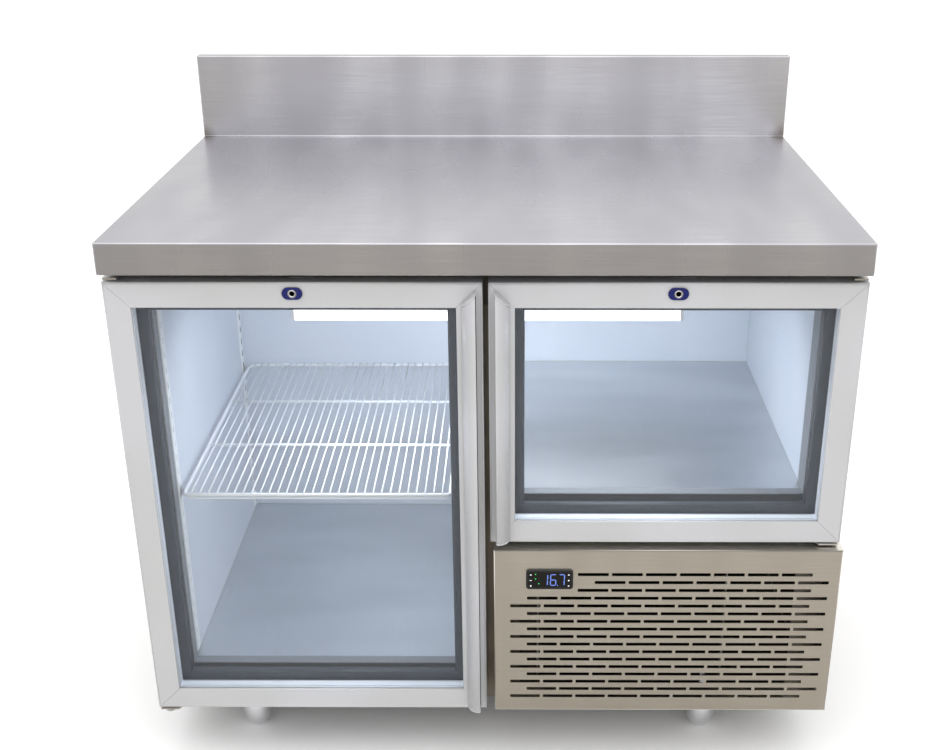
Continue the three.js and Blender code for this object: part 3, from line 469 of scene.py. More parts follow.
def startTree(name, inputs):
    tree = bpy.data.node_groups.new(name, "GeometryNodeTree")
    for label, kind in inputs.items():
        tree.interface.new_socket(label, in_out="INPUT", socket_type=socketKinds[kind])
    tree.interface.new_socket("Geometry", in_out="OUTPUT", socket_type="NodeSocketGeometry")
    return tree, tree.nodes.new("NodeGroupInput").outputs


def endTree(tree, geometry, material):
    real = nodeOut(tree, "GeometryNodeRealizeInstances", {"Geometry": geometry})
    painted = nodeOut(tree, "GeometryNodeSetMaterial", {"Geometry": real, "Material": material})
    tree.links.new(painted, tree.nodes.new("NodeGroupOutput").inputs[0])


def grow(name, tree, values, material):
    piece = bpy.data.objects.new(name, bpy.data.meshes.new(name + "Seed"))
    bpy.context.scene.collection.objects.link(piece)
    change = piece.modifiers.new("grow", "NODES")
    change.node_group = tree
    for item in tree.interface.items_tree:
        if item.in_out == "INPUT":
            change[item.identifier] = material if item.name == "Material" else values[item.name]
    return bakeDown(piece)


# The cover's arithmetic: result, operation, first and second term
slotSums = (
    ("Share", "DIVIDE", "Index", "Columns"),
    ("Row", "FLOOR", "Share", 0.0),
    ("Passed", "MULTIPLY", "Row", "Columns"),
    ("Column", "SUBTRACT", "Index", "Passed"),
    ("Odd", "MODULO", "Row", 2.0),
    ("Shift", "MULTIPLY", "Odd", "Stagger"),
    ("Along", "MULTIPLY", "Column", "Column Pitch"),
    ("Inset", "ADD", "Along", "First Across"),
    ("Across", "ADD", "Inset", "Shift"),
    ("Fallen", "MULTIPLY", "Row", "Row Pitch"),
    ("Down", "ADD", "Fallen", "First Down"),
    ("Half Slot", "DIVIDE", "Slot Length", 2.0),
    ("Slot X", "ADD", "Across", "Half Slot"),
    ("Slot Y", "MULTIPLY", "Down", -1.0),
    ("Slots", "MULTIPLY", "Columns", "Rows"),
    ("Slot End", "ADD", "Across", "Slot Length"),
    ("Too Far", "GREATER_THAN", "Slot End", "Right Limit"),
    ("Beside", "LESS_THAN", "Across", "Clear Right"),
    ("Above", "LESS_THAN", "Down", "Clear Down"),
    ("At Window", "MULTIPLY", "Beside", "Above"),
    ("Drop", "MAXIMUM", "Too Far", "At Window"),
    ("Dropped", "GREATER_THAN", "Drop", 0.5),
    ("Slot Round", "MULTIPLY", "Slot Height", 0.18),
    ("Plate X", "DIVIDE", "Width", 2.0),
    ("Plate Y", "DIVIDE", "Height", -2.0),
    ("Half Window", "DIVIDE", "Window Width", 2.0),
    ("Window X", "ADD", "Window Left", "Half Window"),
    ("Window Drop", "DIVIDE", "Window Height", 2.0),
    ("Window Middle", "ADD", "Window Top", "Window Drop"),
    ("Window Y", "MULTIPLY", "Window Middle", -1.0),
)


# Plate with staggered rows of slots with rounded corners, and a window that the slots keep clear of
def slottedPlateTree():
    sizes = ("Width", "Height", "Thickness", "Slot Length", "Slot Height", "Column Pitch", "Row Pitch")
    sizes += ("Stagger", "First Across", "First Down", "Right Limit", "Window Left", "Window Top")
    sizes += ("Window Width", "Window Height", "Clear Right", "Clear Down")
    inputs = dict.fromkeys(sizes, "length") | {"Columns": "count", "Rows": "count"}
    tree, given = startTree("slottedPlate", inputs | {"Corner": "place", "Material": "material"})
    known = {socket.name: socket for socket in given}
    known["Index"] = nodeOut(tree, "GeometryNodeInputIndex")
    for result, operation, first, second in slotSums:
        values = {"operation": operation, 0: known.get(first, first), 1: known.get(second, second)}
        known[result] = nodeOut(tree, "ShaderNodeMath", values)
    place = nodeOut(tree, "ShaderNodeCombineXYZ", {"X": known["Slot X"], "Y": known["Slot Y"]})
    points = nodeOut(tree, "GeometryNodePoints", {"Count": known["Slots"], "Position": place})
    values = {"domain": "POINT", "Geometry": points, "Selection": known["Dropped"]}
    kept = nodeOut(tree, "GeometryNodeDeleteGeometry", values)
    outline = {}
    for name, wide, high in (("Slot", "Slot Length", "Slot Height"), ("Plate", "Width", "Height"),
                             ("Window", "Window Width", "Window Height")):
        values = {"Width": known[wide], "Height": known[high]}
        outline[name] = nodeOut(tree, "GeometryNodeCurvePrimitiveQuadrilateral", values)
    values = {"mode": "POLY", "Count": 4, "Curve": outline["Slot"], "Radius": known["Slot Round"]}
    rounded = nodeOut(tree, "GeometryNodeFilletCurve", values)
    slots = nodeOut(tree, "GeometryNodeInstanceOnPoints", {"Points": kept, "Instance": rounded})
    parts = [nodeOut(tree, "GeometryNodeRealizeInstances", {"Geometry": slots})]
    for name in ("Window", "Plate"):
        centre = nodeOut(tree, "ShaderNodeCombineXYZ", {"X": known[name + " X"], "Y": known[name + " Y"]})
        values = {"Geometry": outline[name], "Translation": centre}
        parts.append(nodeOut(tree, "GeometryNodeTransform", values))
    together = nodeOut(tree, "GeometryNodeJoinGeometry", {"Geometry": parts})
    filled = nodeOut(tree, "GeometryNodeFillCurve", {"mode": "TRIANGLES", "Curve": together})
    values = {"mode": "FACES", "Individual": False, "Mesh": filled, "Offset Scale": given["Thickness"]}
    raised = nodeOut(tree, "GeometryNodeExtrudeMesh", values)
    flipped = nodeOut(tree, "GeometryNodeFlipFaces", {"Mesh": filled})
    shell = nodeOut(tree, "GeometryNodeJoinGeometry", {"Geometry": [raised, flipped]})
    welded = nodeOut(tree, "GeometryNodeMergeByDistance", {"Distance": 0.01 * mm, "Geometry": shell})
    values = {"Rotation": (math.pi / 2, 0, 0), "Geometry": welded, "Translation": given["Corner"]}
    endTree(tree, nodeOut(tree, "GeometryNodeTransform", values), given["Material"])
    return tree


def evenPoints(tree, given):
    values = {"Count": given["Count"], "Start Location": given["First"], "Offset": given["Step"]}
    return nodeOut(tree, "GeometryNodeMeshLine", {"mode": "OFFSET"} | values)


# A row of the same plate or rod at an even step; a rod's size is its radius and length, and it lies along Y
def rowTree(name, isRod):
    inputs = {"Count": "count", "First": "place", "Step": "place", "Size": "place", "Material": "material"}
    tree, given = startTree(name, inputs)
    line = evenPoints(tree, given)
    if isRod:
        size = addNode(tree, "ShaderNodeSeparateXYZ", {0: given["Size"]}).outputs
        values = {"Vertices": 8, "Radius": size[0], "Depth": size[1]}
        rod = addNode(tree, "GeometryNodeMeshCylinder", values).outputs
        smooth = nodeOut(tree, "GeometryNodeSetShadeSmooth", {0: rod["Mesh"], "Selection": rod["Side"]})
        values = {"Rotation": (math.pi / 2, 0, 0), "Geometry": smooth}
        shape = nodeOut(tree, "GeometryNodeTransform", values)
    else:
        shape = nodeOut(tree, "GeometryNodeMeshCube", {"Size": given["Size"]})
    placed = nodeOut(tree, "GeometryNodeInstanceOnPoints", {"Points": line, "Instance": shape})
    endTree(tree, placed, given["Material"])
    return tree


# Two rows of dots beside each other, laid on a face whose normal is any axis
def dotRowsTree():
    inputs = {"Count": "count", "First": "place", "Step": "place", "Second Row": "place", "Turn": "place"}
    inputs |= {"Dot Radius": "length", "Dot Height": "length", "Material": "material"}
    tree, given = startTree("dotRows", inputs)
    line = evenPoints(tree, given)
    values = {"Geometry": line, "Translation": given["Second Row"]}
    other = nodeOut(tree, "GeometryNodeTransform", values)
    both = nodeOut(tree, "GeometryNodeJoinGeometry", {"Geometry": [line, other]})
    values = {"Vertices": 8, "Radius": given["Dot Radius"], "Depth": given["Dot Height"]}
    dot = addNode(tree, "GeometryNodeMeshCylinder", values).outputs["Mesh"]
    values = {"Points": both, "Instance": dot, "Rotation": given["Turn"]}
    endTree(tree, nodeOut(tree, "GeometryNodeInstanceOnPoints", values), given["Material"])
    return tree


slottedPlate = slottedPlateTree()
plateRow = rowTree("plateRow", False)
rodRow = rowTree("rodRow", True)
dotRows = dotRowsTree()
print("node trees made")


worktopMake = {"fascia": 48 * mm, "upstand": 20 * mm, "returnLip": 20 * mm}
worktopMake |= {"fold": 2.2 * mm, "sheet": 1.5 * mm}


def makeWorktop():
    low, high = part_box("worktop")
    x0, x1, y0, y2, z0, z2 = low.x, high.x, low.y, high.y, low.z, high.z
    y1 = y2 - worktopMake["upstand"]
    z1 = z0 + worktopMake["fascia"]
    lip = worktopMake["returnLip"]
    bm = bmesh.new()
    known = {}

    def corner(x, y, z):
        key = (round(x, 6), round(y, 6), round(z, 6))
        if key not in known:
            known[key] = bm.verts.new((x, y, z))
        return known[key]

    faces = [
        [(x0, y0, z1), (x1, y0, z1), (x1, y1, z1), (x0, y1, z1)],
        [(x0, y0, z0), (x1, y0, z0), (x1, y0, z1), (x0, y0, z1)],
        [(x0, y0, z0), (x0, y0 + lip, z0), (x1, y0 + lip, z0), (x1, y0, z0)],
        [(x0, y1, z1), (x1, y1, z1), (x1, y1, z2), (x0, y1, z2)],
        [(x0, y1, z2), (x1, y1, z2), (x1, y2, z2), (x0, y2, z2)],
        [(x0, y2, z2), (x1, y2, z2), (x1, y2, z1), (x0, y2, z1)],
        [(x0, y2, z1), (x1, y2, z1), (x1, y2, z0), (x0, y2, z0)],
    ]
    for x in (x0, x1):
        faces.append([(x, y0, z0), (x, y0, z1), (x, y1, z1), (x, y2, z1), (x, y2, z0), (x, y0 + lip, z0)])
        faces.append([(x, y1, z1), (x, y1, z2), (x, y2, z2), (x, y2, z1)])
    for face in faces:
        bm.faces.new([corner(*p) for p in face])
    bmesh.ops.recalc_face_normals(bm, faces=bm.faces)
    folds = [e for e in bm.edges if len(e.link_faces) == 2 and e.calc_face_angle(0) > 0.5]
    roundOff(bm, folds, worktopMake["fold"], 3)
    piece = asObject("worktopSheet", bm, steelTop)
    inside = piece.modifiers.new("sheet", "SOLIDIFY")
    inside.thickness = worktopMake["sheet"]
    inside.offset = -1
    settle(bakeDown(piece), "cabinet", "stainless", "worktop")


makeWorktop()
print("worktop made")


doorMake = {
    "frontLip": 38.5,
    "backLip": 53,
    "depth": 40,
    "rebate": 26,
    "lip": 2.75,
    "glazingBack": 29.35,
    "wall": 2,
    "outerRound": 3.4,
    "lipRound": 1.1,
    "mitreGap": 0.5,
    "handleStart": 9,
    "handleWidth": 22,
    "handleHeight": 21,
    "handleWall": 2.5,
    "capLength": 3,
    "pinFromEdge": 12,
    "pinFromFront": 25,
    "pinReach": 22,
    "pinHole": 4.3,
    "cutPast": 5,
    "lockDrop": 16,
    "lockHole": 8.3,
    "camLevel": 39.0,
}


def memberOutline():
    d = doorMake
    points = [
        (0, 0),
        (d["frontLip"], 0),
        (d["frontLip"], d["lip"]),
        (d["rebate"], d["lip"]),
        (d["rebate"], d["depth"]),
        (0, d["depth"]),
    ]
    radii = [d["outerRound"], d["lipRound"], 0.8, 0, 0.6, 1.2]
    outer = filleted(points, radii, 6)
    w = d["wall"]
    right, top = d["rebate"] - w, d["depth"] - w
    hole = [(w + 1, w + 1), (w + 1, top), (right, top), (right, w + 1)]
    return [[(u * mm, v * mm) for u, v in loop] for loop in (outer, hole)]


def beadOutline():
    d = doorMake
    points = [
        (d["rebate"] + 0.1, d["glazingBack"]),
        (d["backLip"], d["glazingBack"] + 1),
        (d["backLip"], d["depth"]),
        (d["rebate"] + 0.1, d["depth"]),
    ]
    return [[(u * mm, v * mm) for u, v in filleted(points, [0.5, 3, 2, 0.5], 4)]]


# The grip section, or the same filled in for an end cap
def handleOutline(capped=False):
    d = doorMake
    start, width, height, wall = d["handleStart"], d["handleWidth"], d["handleHeight"], d["handleWall"]
    steps = 14
    outer = [(start + 0.4, 0), (start + width, 0)]
    for i in range(1, steps + 1):
        a = i / steps * math.pi / 2
        outer.append((start + 4 + (width - 4) * math.cos(a), height * math.sin(a)))
    tip = [
        (start + 2.4, height - 0.2),
        (start + 1.3, height - 0.9),
        (start + 1.0, height - 1.9),
        (start + 1.2, height - wall - 0.3),
        (start + 2.2, height - wall - 0.6),
    ]
    inner = []
    for i in range(steps - 1, 0, -1):
        a = i / steps * math.pi / 2
        reach = width - 4 - wall * 1.6
        inner.append((start + 4 + reach * math.cos(a), wall + (height - wall * 2) * math.sin(a)))
    if capped:
        return [[(u * mm, v * mm) for u, v in outer + tip[:3] + [(start + 0.4, height - 4)]]]
    return [[(u * mm, v * mm) for u, v in outer + tip + inner + [(start + 0.4, wall)]]]


# Four mitred members, their glazing bead, and the end seams that part them
def makeDoorFrame(door, side):
    d = doorMake
    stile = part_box(door + "_hinge_stile")
    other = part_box(door + "_handle_stile")
    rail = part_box(door + "_top_rail")
    outer = stile[0].x if side < 0 else stile[1].x
    inner = other[1].x if side < 0 else other[0].x
    front, top = stile[0].y, rail[1].z
    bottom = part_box(door + "_bottom_rail")[0].z
    width, height = abs(inner - outer), top - bottom
    inwards, outwards, back = (-side, 0, 0), (side, 0, 0), (0, 1, 0)
    members = {
        "hinge_stile": ((outer, front, bottom), inwards, (0, 0, 1), height),
        "handle_stile": ((inner, front, bottom), outwards, (0, 0, 1), height),
        "top_rail": ((outer, front, top), (0, 0, -1), inwards, width),
        "bottom_rail": ((outer, front, bottom), (0, 0, 1), inwards, width),
    }
    gap = d["mitreGap"] * mm / 2
    pinX = outer - side * d["pinFromEdge"] * mm
    pinY = front + d["pinFromFront"] * mm
    lockX, lockZ = (outer + inner) / 2, top - d["lockDrop"] * mm
    for name, (origin, across, along, length) in members.items():
        bm = bmesh.new()
        ends = lambda u: u + gap, lambda u: length - u - gap
        addSwept(bm, memberOutline(), origin, across, back, along, *ends)
        piece = asObject(door + "_" + name + "_profile", bm, frameCoat)
        cutters = []
        for level, way in ((top, 1), (bottom, -1)):
            if name in ("handle_stile", "bottom_rail" if way > 0 else "top_rail"):
                continue
            bm = bmesh.new()
            low, high = sorted((level - way * d["pinReach"] * mm, level + way * d["cutPast"] * mm))
            addRod(bm, (pinX, pinY, low), (pinX, pinY, high), d["pinHole"] * mm)
            cutters.append(asObject("cutter", bm, None))
        if name == "top_rail":
            bm = bmesh.new()
            addRod(bm, (lockX, front - 0.01, lockZ), (lockX, front + 0.006, lockZ), d["lockHole"] * mm, 24)
            cutters.append(asObject("cutter", bm, None))
            bm = bmesh.new()
            y = front + (d["camLevel"] - 15) * mm
            start = (lockX - 6 * mm, y - 2.5 * mm, top - 4 * mm)
            addBox(bm, start, (lockX + 28 * mm, y + 2 * mm, top + 4 * mm))
            cutters.append(asObject("cutter", bm, None))
        if cutters:
            carve(piece, cutters)
        settle(piece, door, "door_frame", door + "_" + name)
        bm = bmesh.new()
        addSwept(bm, beadOutline(), origin, across, back, along, *ends)
        madePiece(door + "_" + name + "_bead", bm, beadRubber, door, "gasket_rubber")
    return inner, front, lockX, lockZ


def makeHandle(door, side, inner, front):
    d = doorMake
    low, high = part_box(door + "_handle")
    cap = d["capLength"] * mm
    seam = 0.35 * mm
    outwards, forward = (side, 0, 0), (0, -1, 0)
    origin = (inner, front, 0)
    reach = (d["handleStart"] + 1) * mm
    slant = lambda u: high.z - (u - reach) - 0.4 * mm  # the upper end follows the mitre
    spans = {
        "grip": (lambda u: low.z + cap + seam, lambda u: slant(u) - cap - seam),
        "lower_cap": (lambda u: low.z, lambda u: low.z + cap),
        "upper_cap": (lambda u: slant(u) - cap, slant),
    }
    for name, (startAt, endAt) in spans.items():
        bm = bmesh.new()
        addSwept(bm, handleOutline(name != "grip"), origin, outwards, forward, (0, 0, 1), startAt, endAt)
        nodes = [door + "_handle"] if name == "grip" else []
        madePiece(door + "_handle_" + name, bm, frameCoat, door, "door_frame", *nodes)
    inset = [[(u * 0.985 + 0.3 * mm, v * 0.97 + 0.15 * mm) for u, v in loop] for loop in handleOutline()]
    bm = bmesh.new()
    ends = lambda u: low.z + cap * 0.5, lambda u: slant(u) - cap * 0.5
    addSwept(bm, inset, origin, outwards, forward, (0, 0, 1), *ends)
    madePiece(door + "_handle_seam", bm, seamAndShadeBlack, door, "door_frame")


lockMake = {"width": 30, "height": 18.5, "thickness": 2.5, "plug": 6, "camLength": 26, "camWidth": 10}


def makeLock(door, x, z, front):
    d = lockMake
    half, radius = (d["width"] - d["height"]) / 2 * mm, d["height"] / 2 * mm
    steps = 14
    loop = []
    for side in (1, -1):
        for i in range(steps + 1):
            a = -math.pi / 2 + math.pi * i / steps
            loop.append((side * (half + radius * math.cos(a)), side * radius * math.sin(a)))
    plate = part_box(door + "_lock_case")[0].y
    bm = bmesh.new()
    verts = [bm.verts.new((x + u, plate + d["thickness"] * mm, z + v)) for u, v in loop]
    base = bm.faces.new(verts)
    sides = bmesh.ops.extrude_face_region(bm, geom=[base])
    raised = [v for v in sides["geom"] if isinstance(v, bmesh.types.BMVert)]
    for v in raised:
        v.co.y = plate
    rim = [e for e in bm.edges if e.verts[0] in raised and e.verts[1] in raised]
    roundOff(bm, rim, 1.1 * mm, 4)
    for face in bm.faces:
        if abs(face.normal.y) < 0.4 or len(face.verts) < 5:
            face.smooth = True
    piece = asObject(door + "_lock_escutcheon", bm, lockBlue)
    bm = bmesh.new()
    addRod(bm, (x, plate - 0.01, z), (x, plate + 0.01, z), (d["plug"] + 0.6) * mm, 32)
    carve(piece, [asObject("cutter", bm, None)])
    settle(piece, door, "lock_enamel", door + "_lock_case")
    bm = bmesh.new()  # sleeve behind the escutcheon
    ring = [(6.3, 0.3), (7.4, 0), (8, 0.4), (8, 21), (6.3, 21), (6.3, 0.3)]
    addTurned(bm, (x, plate + 0.1 * mm, z), (0, 1, 0), [(r * mm, h * mm) for r, h in ring], 32)
    madePiece(door + "_lock_sleeve", bm, chromePlate, door, "bright_chrome")
    lock = "left_lock" if door == "left_door" else "right_lock"
    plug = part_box(door + "_lock_plug")
    bm = bmesh.new()
    face = plug[0].y
    profile = [(0, 1.9), (3.0, 1.7), (3.6, 1.2), (4.1, 0.2), (4.9, 0), (5.8, 0.5), (6, 1.2), (6, 26)]
    addTurned(bm, (x, face, z), (0, 1, 0), [(r * mm, h * mm) for r, h in profile], 32)
    camFront = plug[1].y - 2.5 * mm
    addBox(
        bm,
        (x - d["camWidth"] / 2 * mm, camFront + 0.5 * mm, z - d["camWidth"] / 2 * mm),
        (x + d["camLength"] * mm, camFront + 2.5 * mm, z + d["camWidth"] / 2 * mm),
        0.7 * mm,
    )
    madePiece(lock + "_plug", bm, chromePlate, lock, "bright_chrome", door + "_lock_plug")
    bm = bmesh.new()  # keyway: a dark disc that paints the shade in the key slot
    slot = [(0, 0), (2.9 * mm, 0), (2.9 * mm, 0.8 * mm), (0, 0.8 * mm)]
    addTurned(bm, (x, face + 1.3 * mm, z), (0, 1, 0), slot, 24)
    madePiece(lock + "_keyway_shade", bm, seamAndShadeBlack, lock, "black_plastic")
    bm = bmesh.new()  # wafer edges seen in the keyway
    low, high = (x - 0.5 * mm, face + 1.0 * mm, z - 2.0 * mm), (x + 0.5 * mm, face + 1.6 * mm, z + 2.0 * mm)
    addBox(bm, low, high, 0.2 * mm)
    madePiece(lock + "_wafers", bm, plugNickel, lock, "bright_chrome")


spacerMake = {"bar": 10.2, "dotPitch": 3.8, "dotInset": 2.6, "dotRadius": 1.15}


def makeGlazing(door):
    for which in ("outer", "inner"):
        finishNode(door + "_" + which + "_pane", paneGlass)
    d = spacerMake
    low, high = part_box(door + "_spacer")
    bar = d["bar"] * mm
    bm = bmesh.new()
    deep, bend = high.y - low.y, 0.8 * mm
    section = filleted([(0, 0), (bar, 0), (bar, deep), (0, deep)], [0, bend, bend, 0], 4)
    addRing(bm, section, low, high)
    madePiece(door + "_spacer_bar", bm, spacerAnodised, door, "bare_aluminium", door + "_spacer")
    pitch, inset = d["dotPitch"] * mm, d["dotInset"] * mm
    across = high.y - low.y - 2 * inset
    y = low.y + inset
    lift = bar + 0.02 * mm
    wide, tall, quarter = high.x - low.x, high.z - low.z, (0, math.pi / 2, 0)
    startX, startZ = low.x + bar + pitch, low.z + bar + pitch
    runs = {
        "lower": ((startX, y, low.z + lift), (pitch, 0, 0), wide, (0, 0, 0)),
        "upper": ((startX, y, high.z - lift), (pitch, 0, 0), wide, (0, 0, 0)),
        "first": ((low.x + lift, y, startZ), (0, 0, pitch), tall, quarter),
        "second": ((high.x - lift, y, startZ), (0, 0, pitch), tall, quarter),
    }
    for name, (first, step, length, turn) in runs.items():
        values = {
            "Count": int((length - 2 * bar) / pitch) - 1,
            "First": first,
            "Step": step,
            "Second Row": (0, across, 0),
            "Turn": turn,
            "Dot Radius": d["dotRadius"] * mm,
            "Dot Height": 0.12 * mm,
        }
        settle(grow(door + "_spacer_holes_" + name, dotRows, values, beadRubber), door, "bare_aluminium")


# Magnetic gasket: a bellows section whose corners are welded, pressed against the cabinet
def makeGasket(door):
    low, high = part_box(door + "_gasket")
    depth = high.y - low.y
    outline = [
        (0, 0.1), (4, 0.1), (5, 0.3), (6.5, 0.1), (22, 0.1), (22, 0.22), (27, 0.3), (30, 0.42),
        (27, 0.55), (29, 0.72), (28, 0.9), (26, 0.99), (4, 0.99), (2, 0.9), (1.2, 0.72), (3.2, 0.55),
        (0.6, 0.36),
    ]
    section = [(u * mm, v * depth) for u, v in outline]
    bm = bmesh.new()
    addRing(bm, section, low, high, 7 * mm)
    madePiece(door + "_gasket_strip", bm, gasketRubber, door, "gasket_rubber", door + "_gasket")


for doorName, doorSide in (("left_door", -1), ("right_door", 1)):
    innerX, frontY, keyX, keyZ = makeDoorFrame(doorName, doorSide)
    makeHandle(doorName, doorSide, innerX, frontY)
    makeLock(doorName, keyX, keyZ, frontY)
    makeGlazing(doorName)
    makeGasket(doorName)
    print(doorName, "made")


for doorName in ("left_door", "right_door"):
    for level in ("upper", "lower"):
        node = doorName + "_" + level + "_hinge"
        softened(node, node + "_bracket", steelCase, "cabinet", "stainless", 0.5 * mm)


coverMake = {
    "sheet": 1.2,
    "slotLength": 48.5,
    "slotHeight": 5.6,
    "slotPitch": 53.4,
    "rowPitch": 14.5,
    "rows": 17,
    "columns": 9,
    "firstAcross": 25.5,
    "firstDown": 43.6,
    "rightMargin": 12,
    "windowMargin": 2.6,
}


def makeCover():
    d = coverMake
    low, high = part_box("grille_panel")
    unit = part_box("temperature_controller")
    margin = d["windowMargin"] * mm
    fold = 1.6 * mm
    values = {
        "Width": high.x - low.x - 2 * fold,
        "Height": high.z - low.z - 2 * fold,
        "Thickness": d["sheet"] * mm,
        "Slot Length": d["slotLength"] * mm,
        "Slot Height": d["slotHeight"] * mm,
        "Column Pitch": d["slotPitch"] * mm,
        "Row Pitch": d["rowPitch"] * mm,
        "Stagger": d["slotPitch"] / 2 * mm,
        "First Across": d["firstAcross"] * mm - fold,
        "First Down": d["firstDown"] * mm - fold,
        "Right Limit": high.x - low.x - d["rightMargin"] * mm - fold,
        "Window Left": unit[0].x - low.x + margin - fold,
        "Window Top": high.z - unit[1].z + margin - fold,
        "Window Width": unit[1].x - unit[0].x - 2 * margin,
        "Window Height": unit[1].z - unit[0].z - 2 * margin,
        "Clear Right": unit[1].x - low.x + 6 * mm - fold,
        "Clear Down": high.z - unit[0].z + 6 * mm - fold,
        "Columns": d["columns"],
        "Rows": d["rows"],
        "Corner": (low.x + fold, low.y + d["sheet"] * mm, high.z - fold),
    }
    face = grow("grille_face", slottedPlate, values, steelCover)
    settle(face, "cabinet", "stainless", "grille_panel")
    # the four folded returns, with the bend radius at their front
    bm = bmesh.new()
    t = d["sheet"] * mm
    arc = [i / 5 * math.pi / 2 for i in range(6)]
    bend = [(fold - fold * math.cos(a), fold - fold * math.sin(a)) for a in arc]
    deep = high.y - low.y
    section = [(0, deep)] + bend + [(fold, t), (t, fold + 0.3 * mm), (t, deep)]
    addRing(bm, section, low, high, 2 * mm)
    madePiece("grille_returns", bm, steelCover, "cabinet", "stainless")
    bm = bmesh.new()  # dark strip that paints the shade in the cover's overhang past the cabinet side
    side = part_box("right_side_panel")[1].x
    start = (side - 2 * mm, high.y - 12 * mm, low.z + 4 * mm)
    end = (high.x - t - 1.3 * mm, high.y - 0.5 * mm, high.z - 4 * mm)
    addBox(bm, start, end, 0.5 * mm)
    madePiece("grille_overhang_shade", bm, seamAndShadeBlack, "cabinet", "black_plastic")


# Which bars each figure lights, from a to g: top, two right, bottom, two left, middle
figureBars = {"1": "bc", "6": "acdefg", "7": "abc"}
controllerMake = {"digitHeight": 19.5, "digitWidth": 8.4, "bar": 1.5, "pitch": 13.15}
controllerMake |= {"slant": 0.04, "text": "167"}


def makeController():
    d = controllerMake
    low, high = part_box("temperature_controller")
    middle = (low + high) / 2
    bezel = 3 * mm
    w, h = high.x - low.x, high.z - low.z
    corner = 5 * mm
    loop = filleted([(0, 0), (w, 0), (w, h), (0, h)], [corner] * 4, 8)
    bm = bmesh.new()
    axes = (1, 0, 0), (0, 0, 1), (0, -1, 0)
    addSwept(bm, [loop], (low.x, low.y + bezel, low.z), *axes, lambda u: 0, lambda u: bezel)
    rim = [e for e in bm.edges if all(abs(v.co.y - low.y) < 1e-6 for v in e.verts)]
    roundOff(bm, [e for e in rim if e.calc_face_angle(0) > 1], 0.9 * mm, 3)
    start = (low.x + bezel, low.y + bezel, low.z + bezel)
    addBox(bm, start, (high.x - bezel, high.y, high.z - bezel), 1 * mm)
    madePiece("controller_case", bm, blackPlastic, "cabinet", "black_plastic", "temperature_controller")
    face = low.y
    bm = bmesh.new()  # smoked window over the display
    inset = 3.4 * mm
    window = filleted(
        [(inset, inset), (w - inset, inset), (w - inset, h - inset), (inset, h - inset)], [2.4 * mm] * 4, 6
    )
    addSwept(bm, [window], (low.x, face + 0.1 * mm, low.z), *axes, lambda u: 0, lambda u: 0.25 * mm)
    madePiece("controller_window", bm, windowPlastic, "cabinet", "black_plastic")
    front = face - 0.15 * mm

    def addMark(bm, points, depth=0.12 * mm):
        verts = [bm.verts.new((x, front, z)) for x, z in points]
        mark = bm.faces.new(verts)
        top = bmesh.ops.extrude_face_region(bm, geom=[mark])
        for v in top["geom"]:
            if isinstance(v, bmesh.types.BMVert):
                v.co.y -= depth

    bm = bmesh.new()
    size, wide, bar, slant = d["digitHeight"] * mm, d["digitWidth"] * mm, d["bar"] * mm, d["slant"]
    left = middle.x - 12 * mm
    base = middle.z - size / 2
    halfSize = size / 2
    spots = {
        "a": (0, size, True),
        "b": (wide, halfSize, False),
        "c": (wide, 0, False),
        "d": (0, 0, True),
        "e": (0, 0, False),
        "f": (0, halfSize, False),
        "g": (0, halfSize, True),
    }
    for place, figure in enumerate(d["text"]):
        shift = left + place * d["pitch"] * mm
        for letter in figureBars[figure]:
            u, v, level = spots[letter]
            gap, t = 0.35 * mm, bar / 2
            if level:
                ends = [(u + gap, v), (u + gap + t, v + t), (u + wide - gap - t, v + t), (u + wide - gap, v)]
                ends += [(u + wide - gap - t, v - t), (u + gap + t, v - t)]
            else:
                top = v + halfSize - gap
                ends = [(u, v + gap), (u + t, v + gap + t), (u + t, top - t), (u, top)]
                ends += [(u - t, top - t), (u - t, v + gap + t)]
            addMark(bm, [(shift + a + b * slant, base + b) for a, b in ends])
    dotX = left + d["pitch"] * mm + wide + 2.1 * mm
    bottom, top = base - bar / 2, base + bar / 2
    addMark(bm, [(dotX, bottom), (dotX + bar, bottom), (dotX + bar, top), (dotX, top)])
    madePiece("controller_digits", bm, digitGlow, "cabinet", "black_plastic")
    bm = bmesh.new()
    for u, v in ((-22, 10.4), (-22, 1.9), (-17, -6.8)):
        dome = [(0.7 * mm, 0), (0.6 * mm, 0.2 * mm), (0, 0.3 * mm)]
        addTurned(bm, (middle.x + u * mm, front, middle.z + v * mm), (0, -1, 0), dome, 12)
    madePiece("controller_leds", bm, ledGreen, "cabinet", "black_plastic")
    # the white key marks are print, with a faint painted glow from their material
    bm = bmesh.new()
    r = 1.5 * mm
    for column in (-29.6, 30):
        x, z = middle.x + column * mm, middle.z + 9.3 * mm
        addMark(bm, [(x - r, z - r * 0.6), (x + r, z - r * 0.6), (x, z + r)])
    ring = [(math.cos(i * math.pi / 8), math.sin(i * math.pi / 8)) for i in range(16)]
    for column, level in ((-29.6, -11), (30, -1)):
        x, z = middle.x + column * mm, middle.z + level * mm
        addMark(bm, [(x + a * r * 0.8, z + b * r * 0.8) for a, b in ring])
    x, z = middle.x - 29.6 * mm, middle.z - 1 * mm
    addMark(bm, [(x - r, z - r * 0.3), (x + r, z - r * 0.3), (x + r, z + r * 0.3), (x - r, z + r * 0.3)])
    x, z = middle.x + 30 * mm, middle.z - 11 * mm
    addMark(bm, [(x - r, z + r * 0.6), (x, z - r), (x + r, z + r * 0.6)])
    madePiece("controller_key_marks", bm, printWhiteGlow, "cabinet", "black_plastic")


makeCover()
makeController()
print("cover and controller made")


shelfMake = {"frame": 3.0, "cross": 2.6, "wire": 1.35, "pitch": 13.8, "corner": 20}


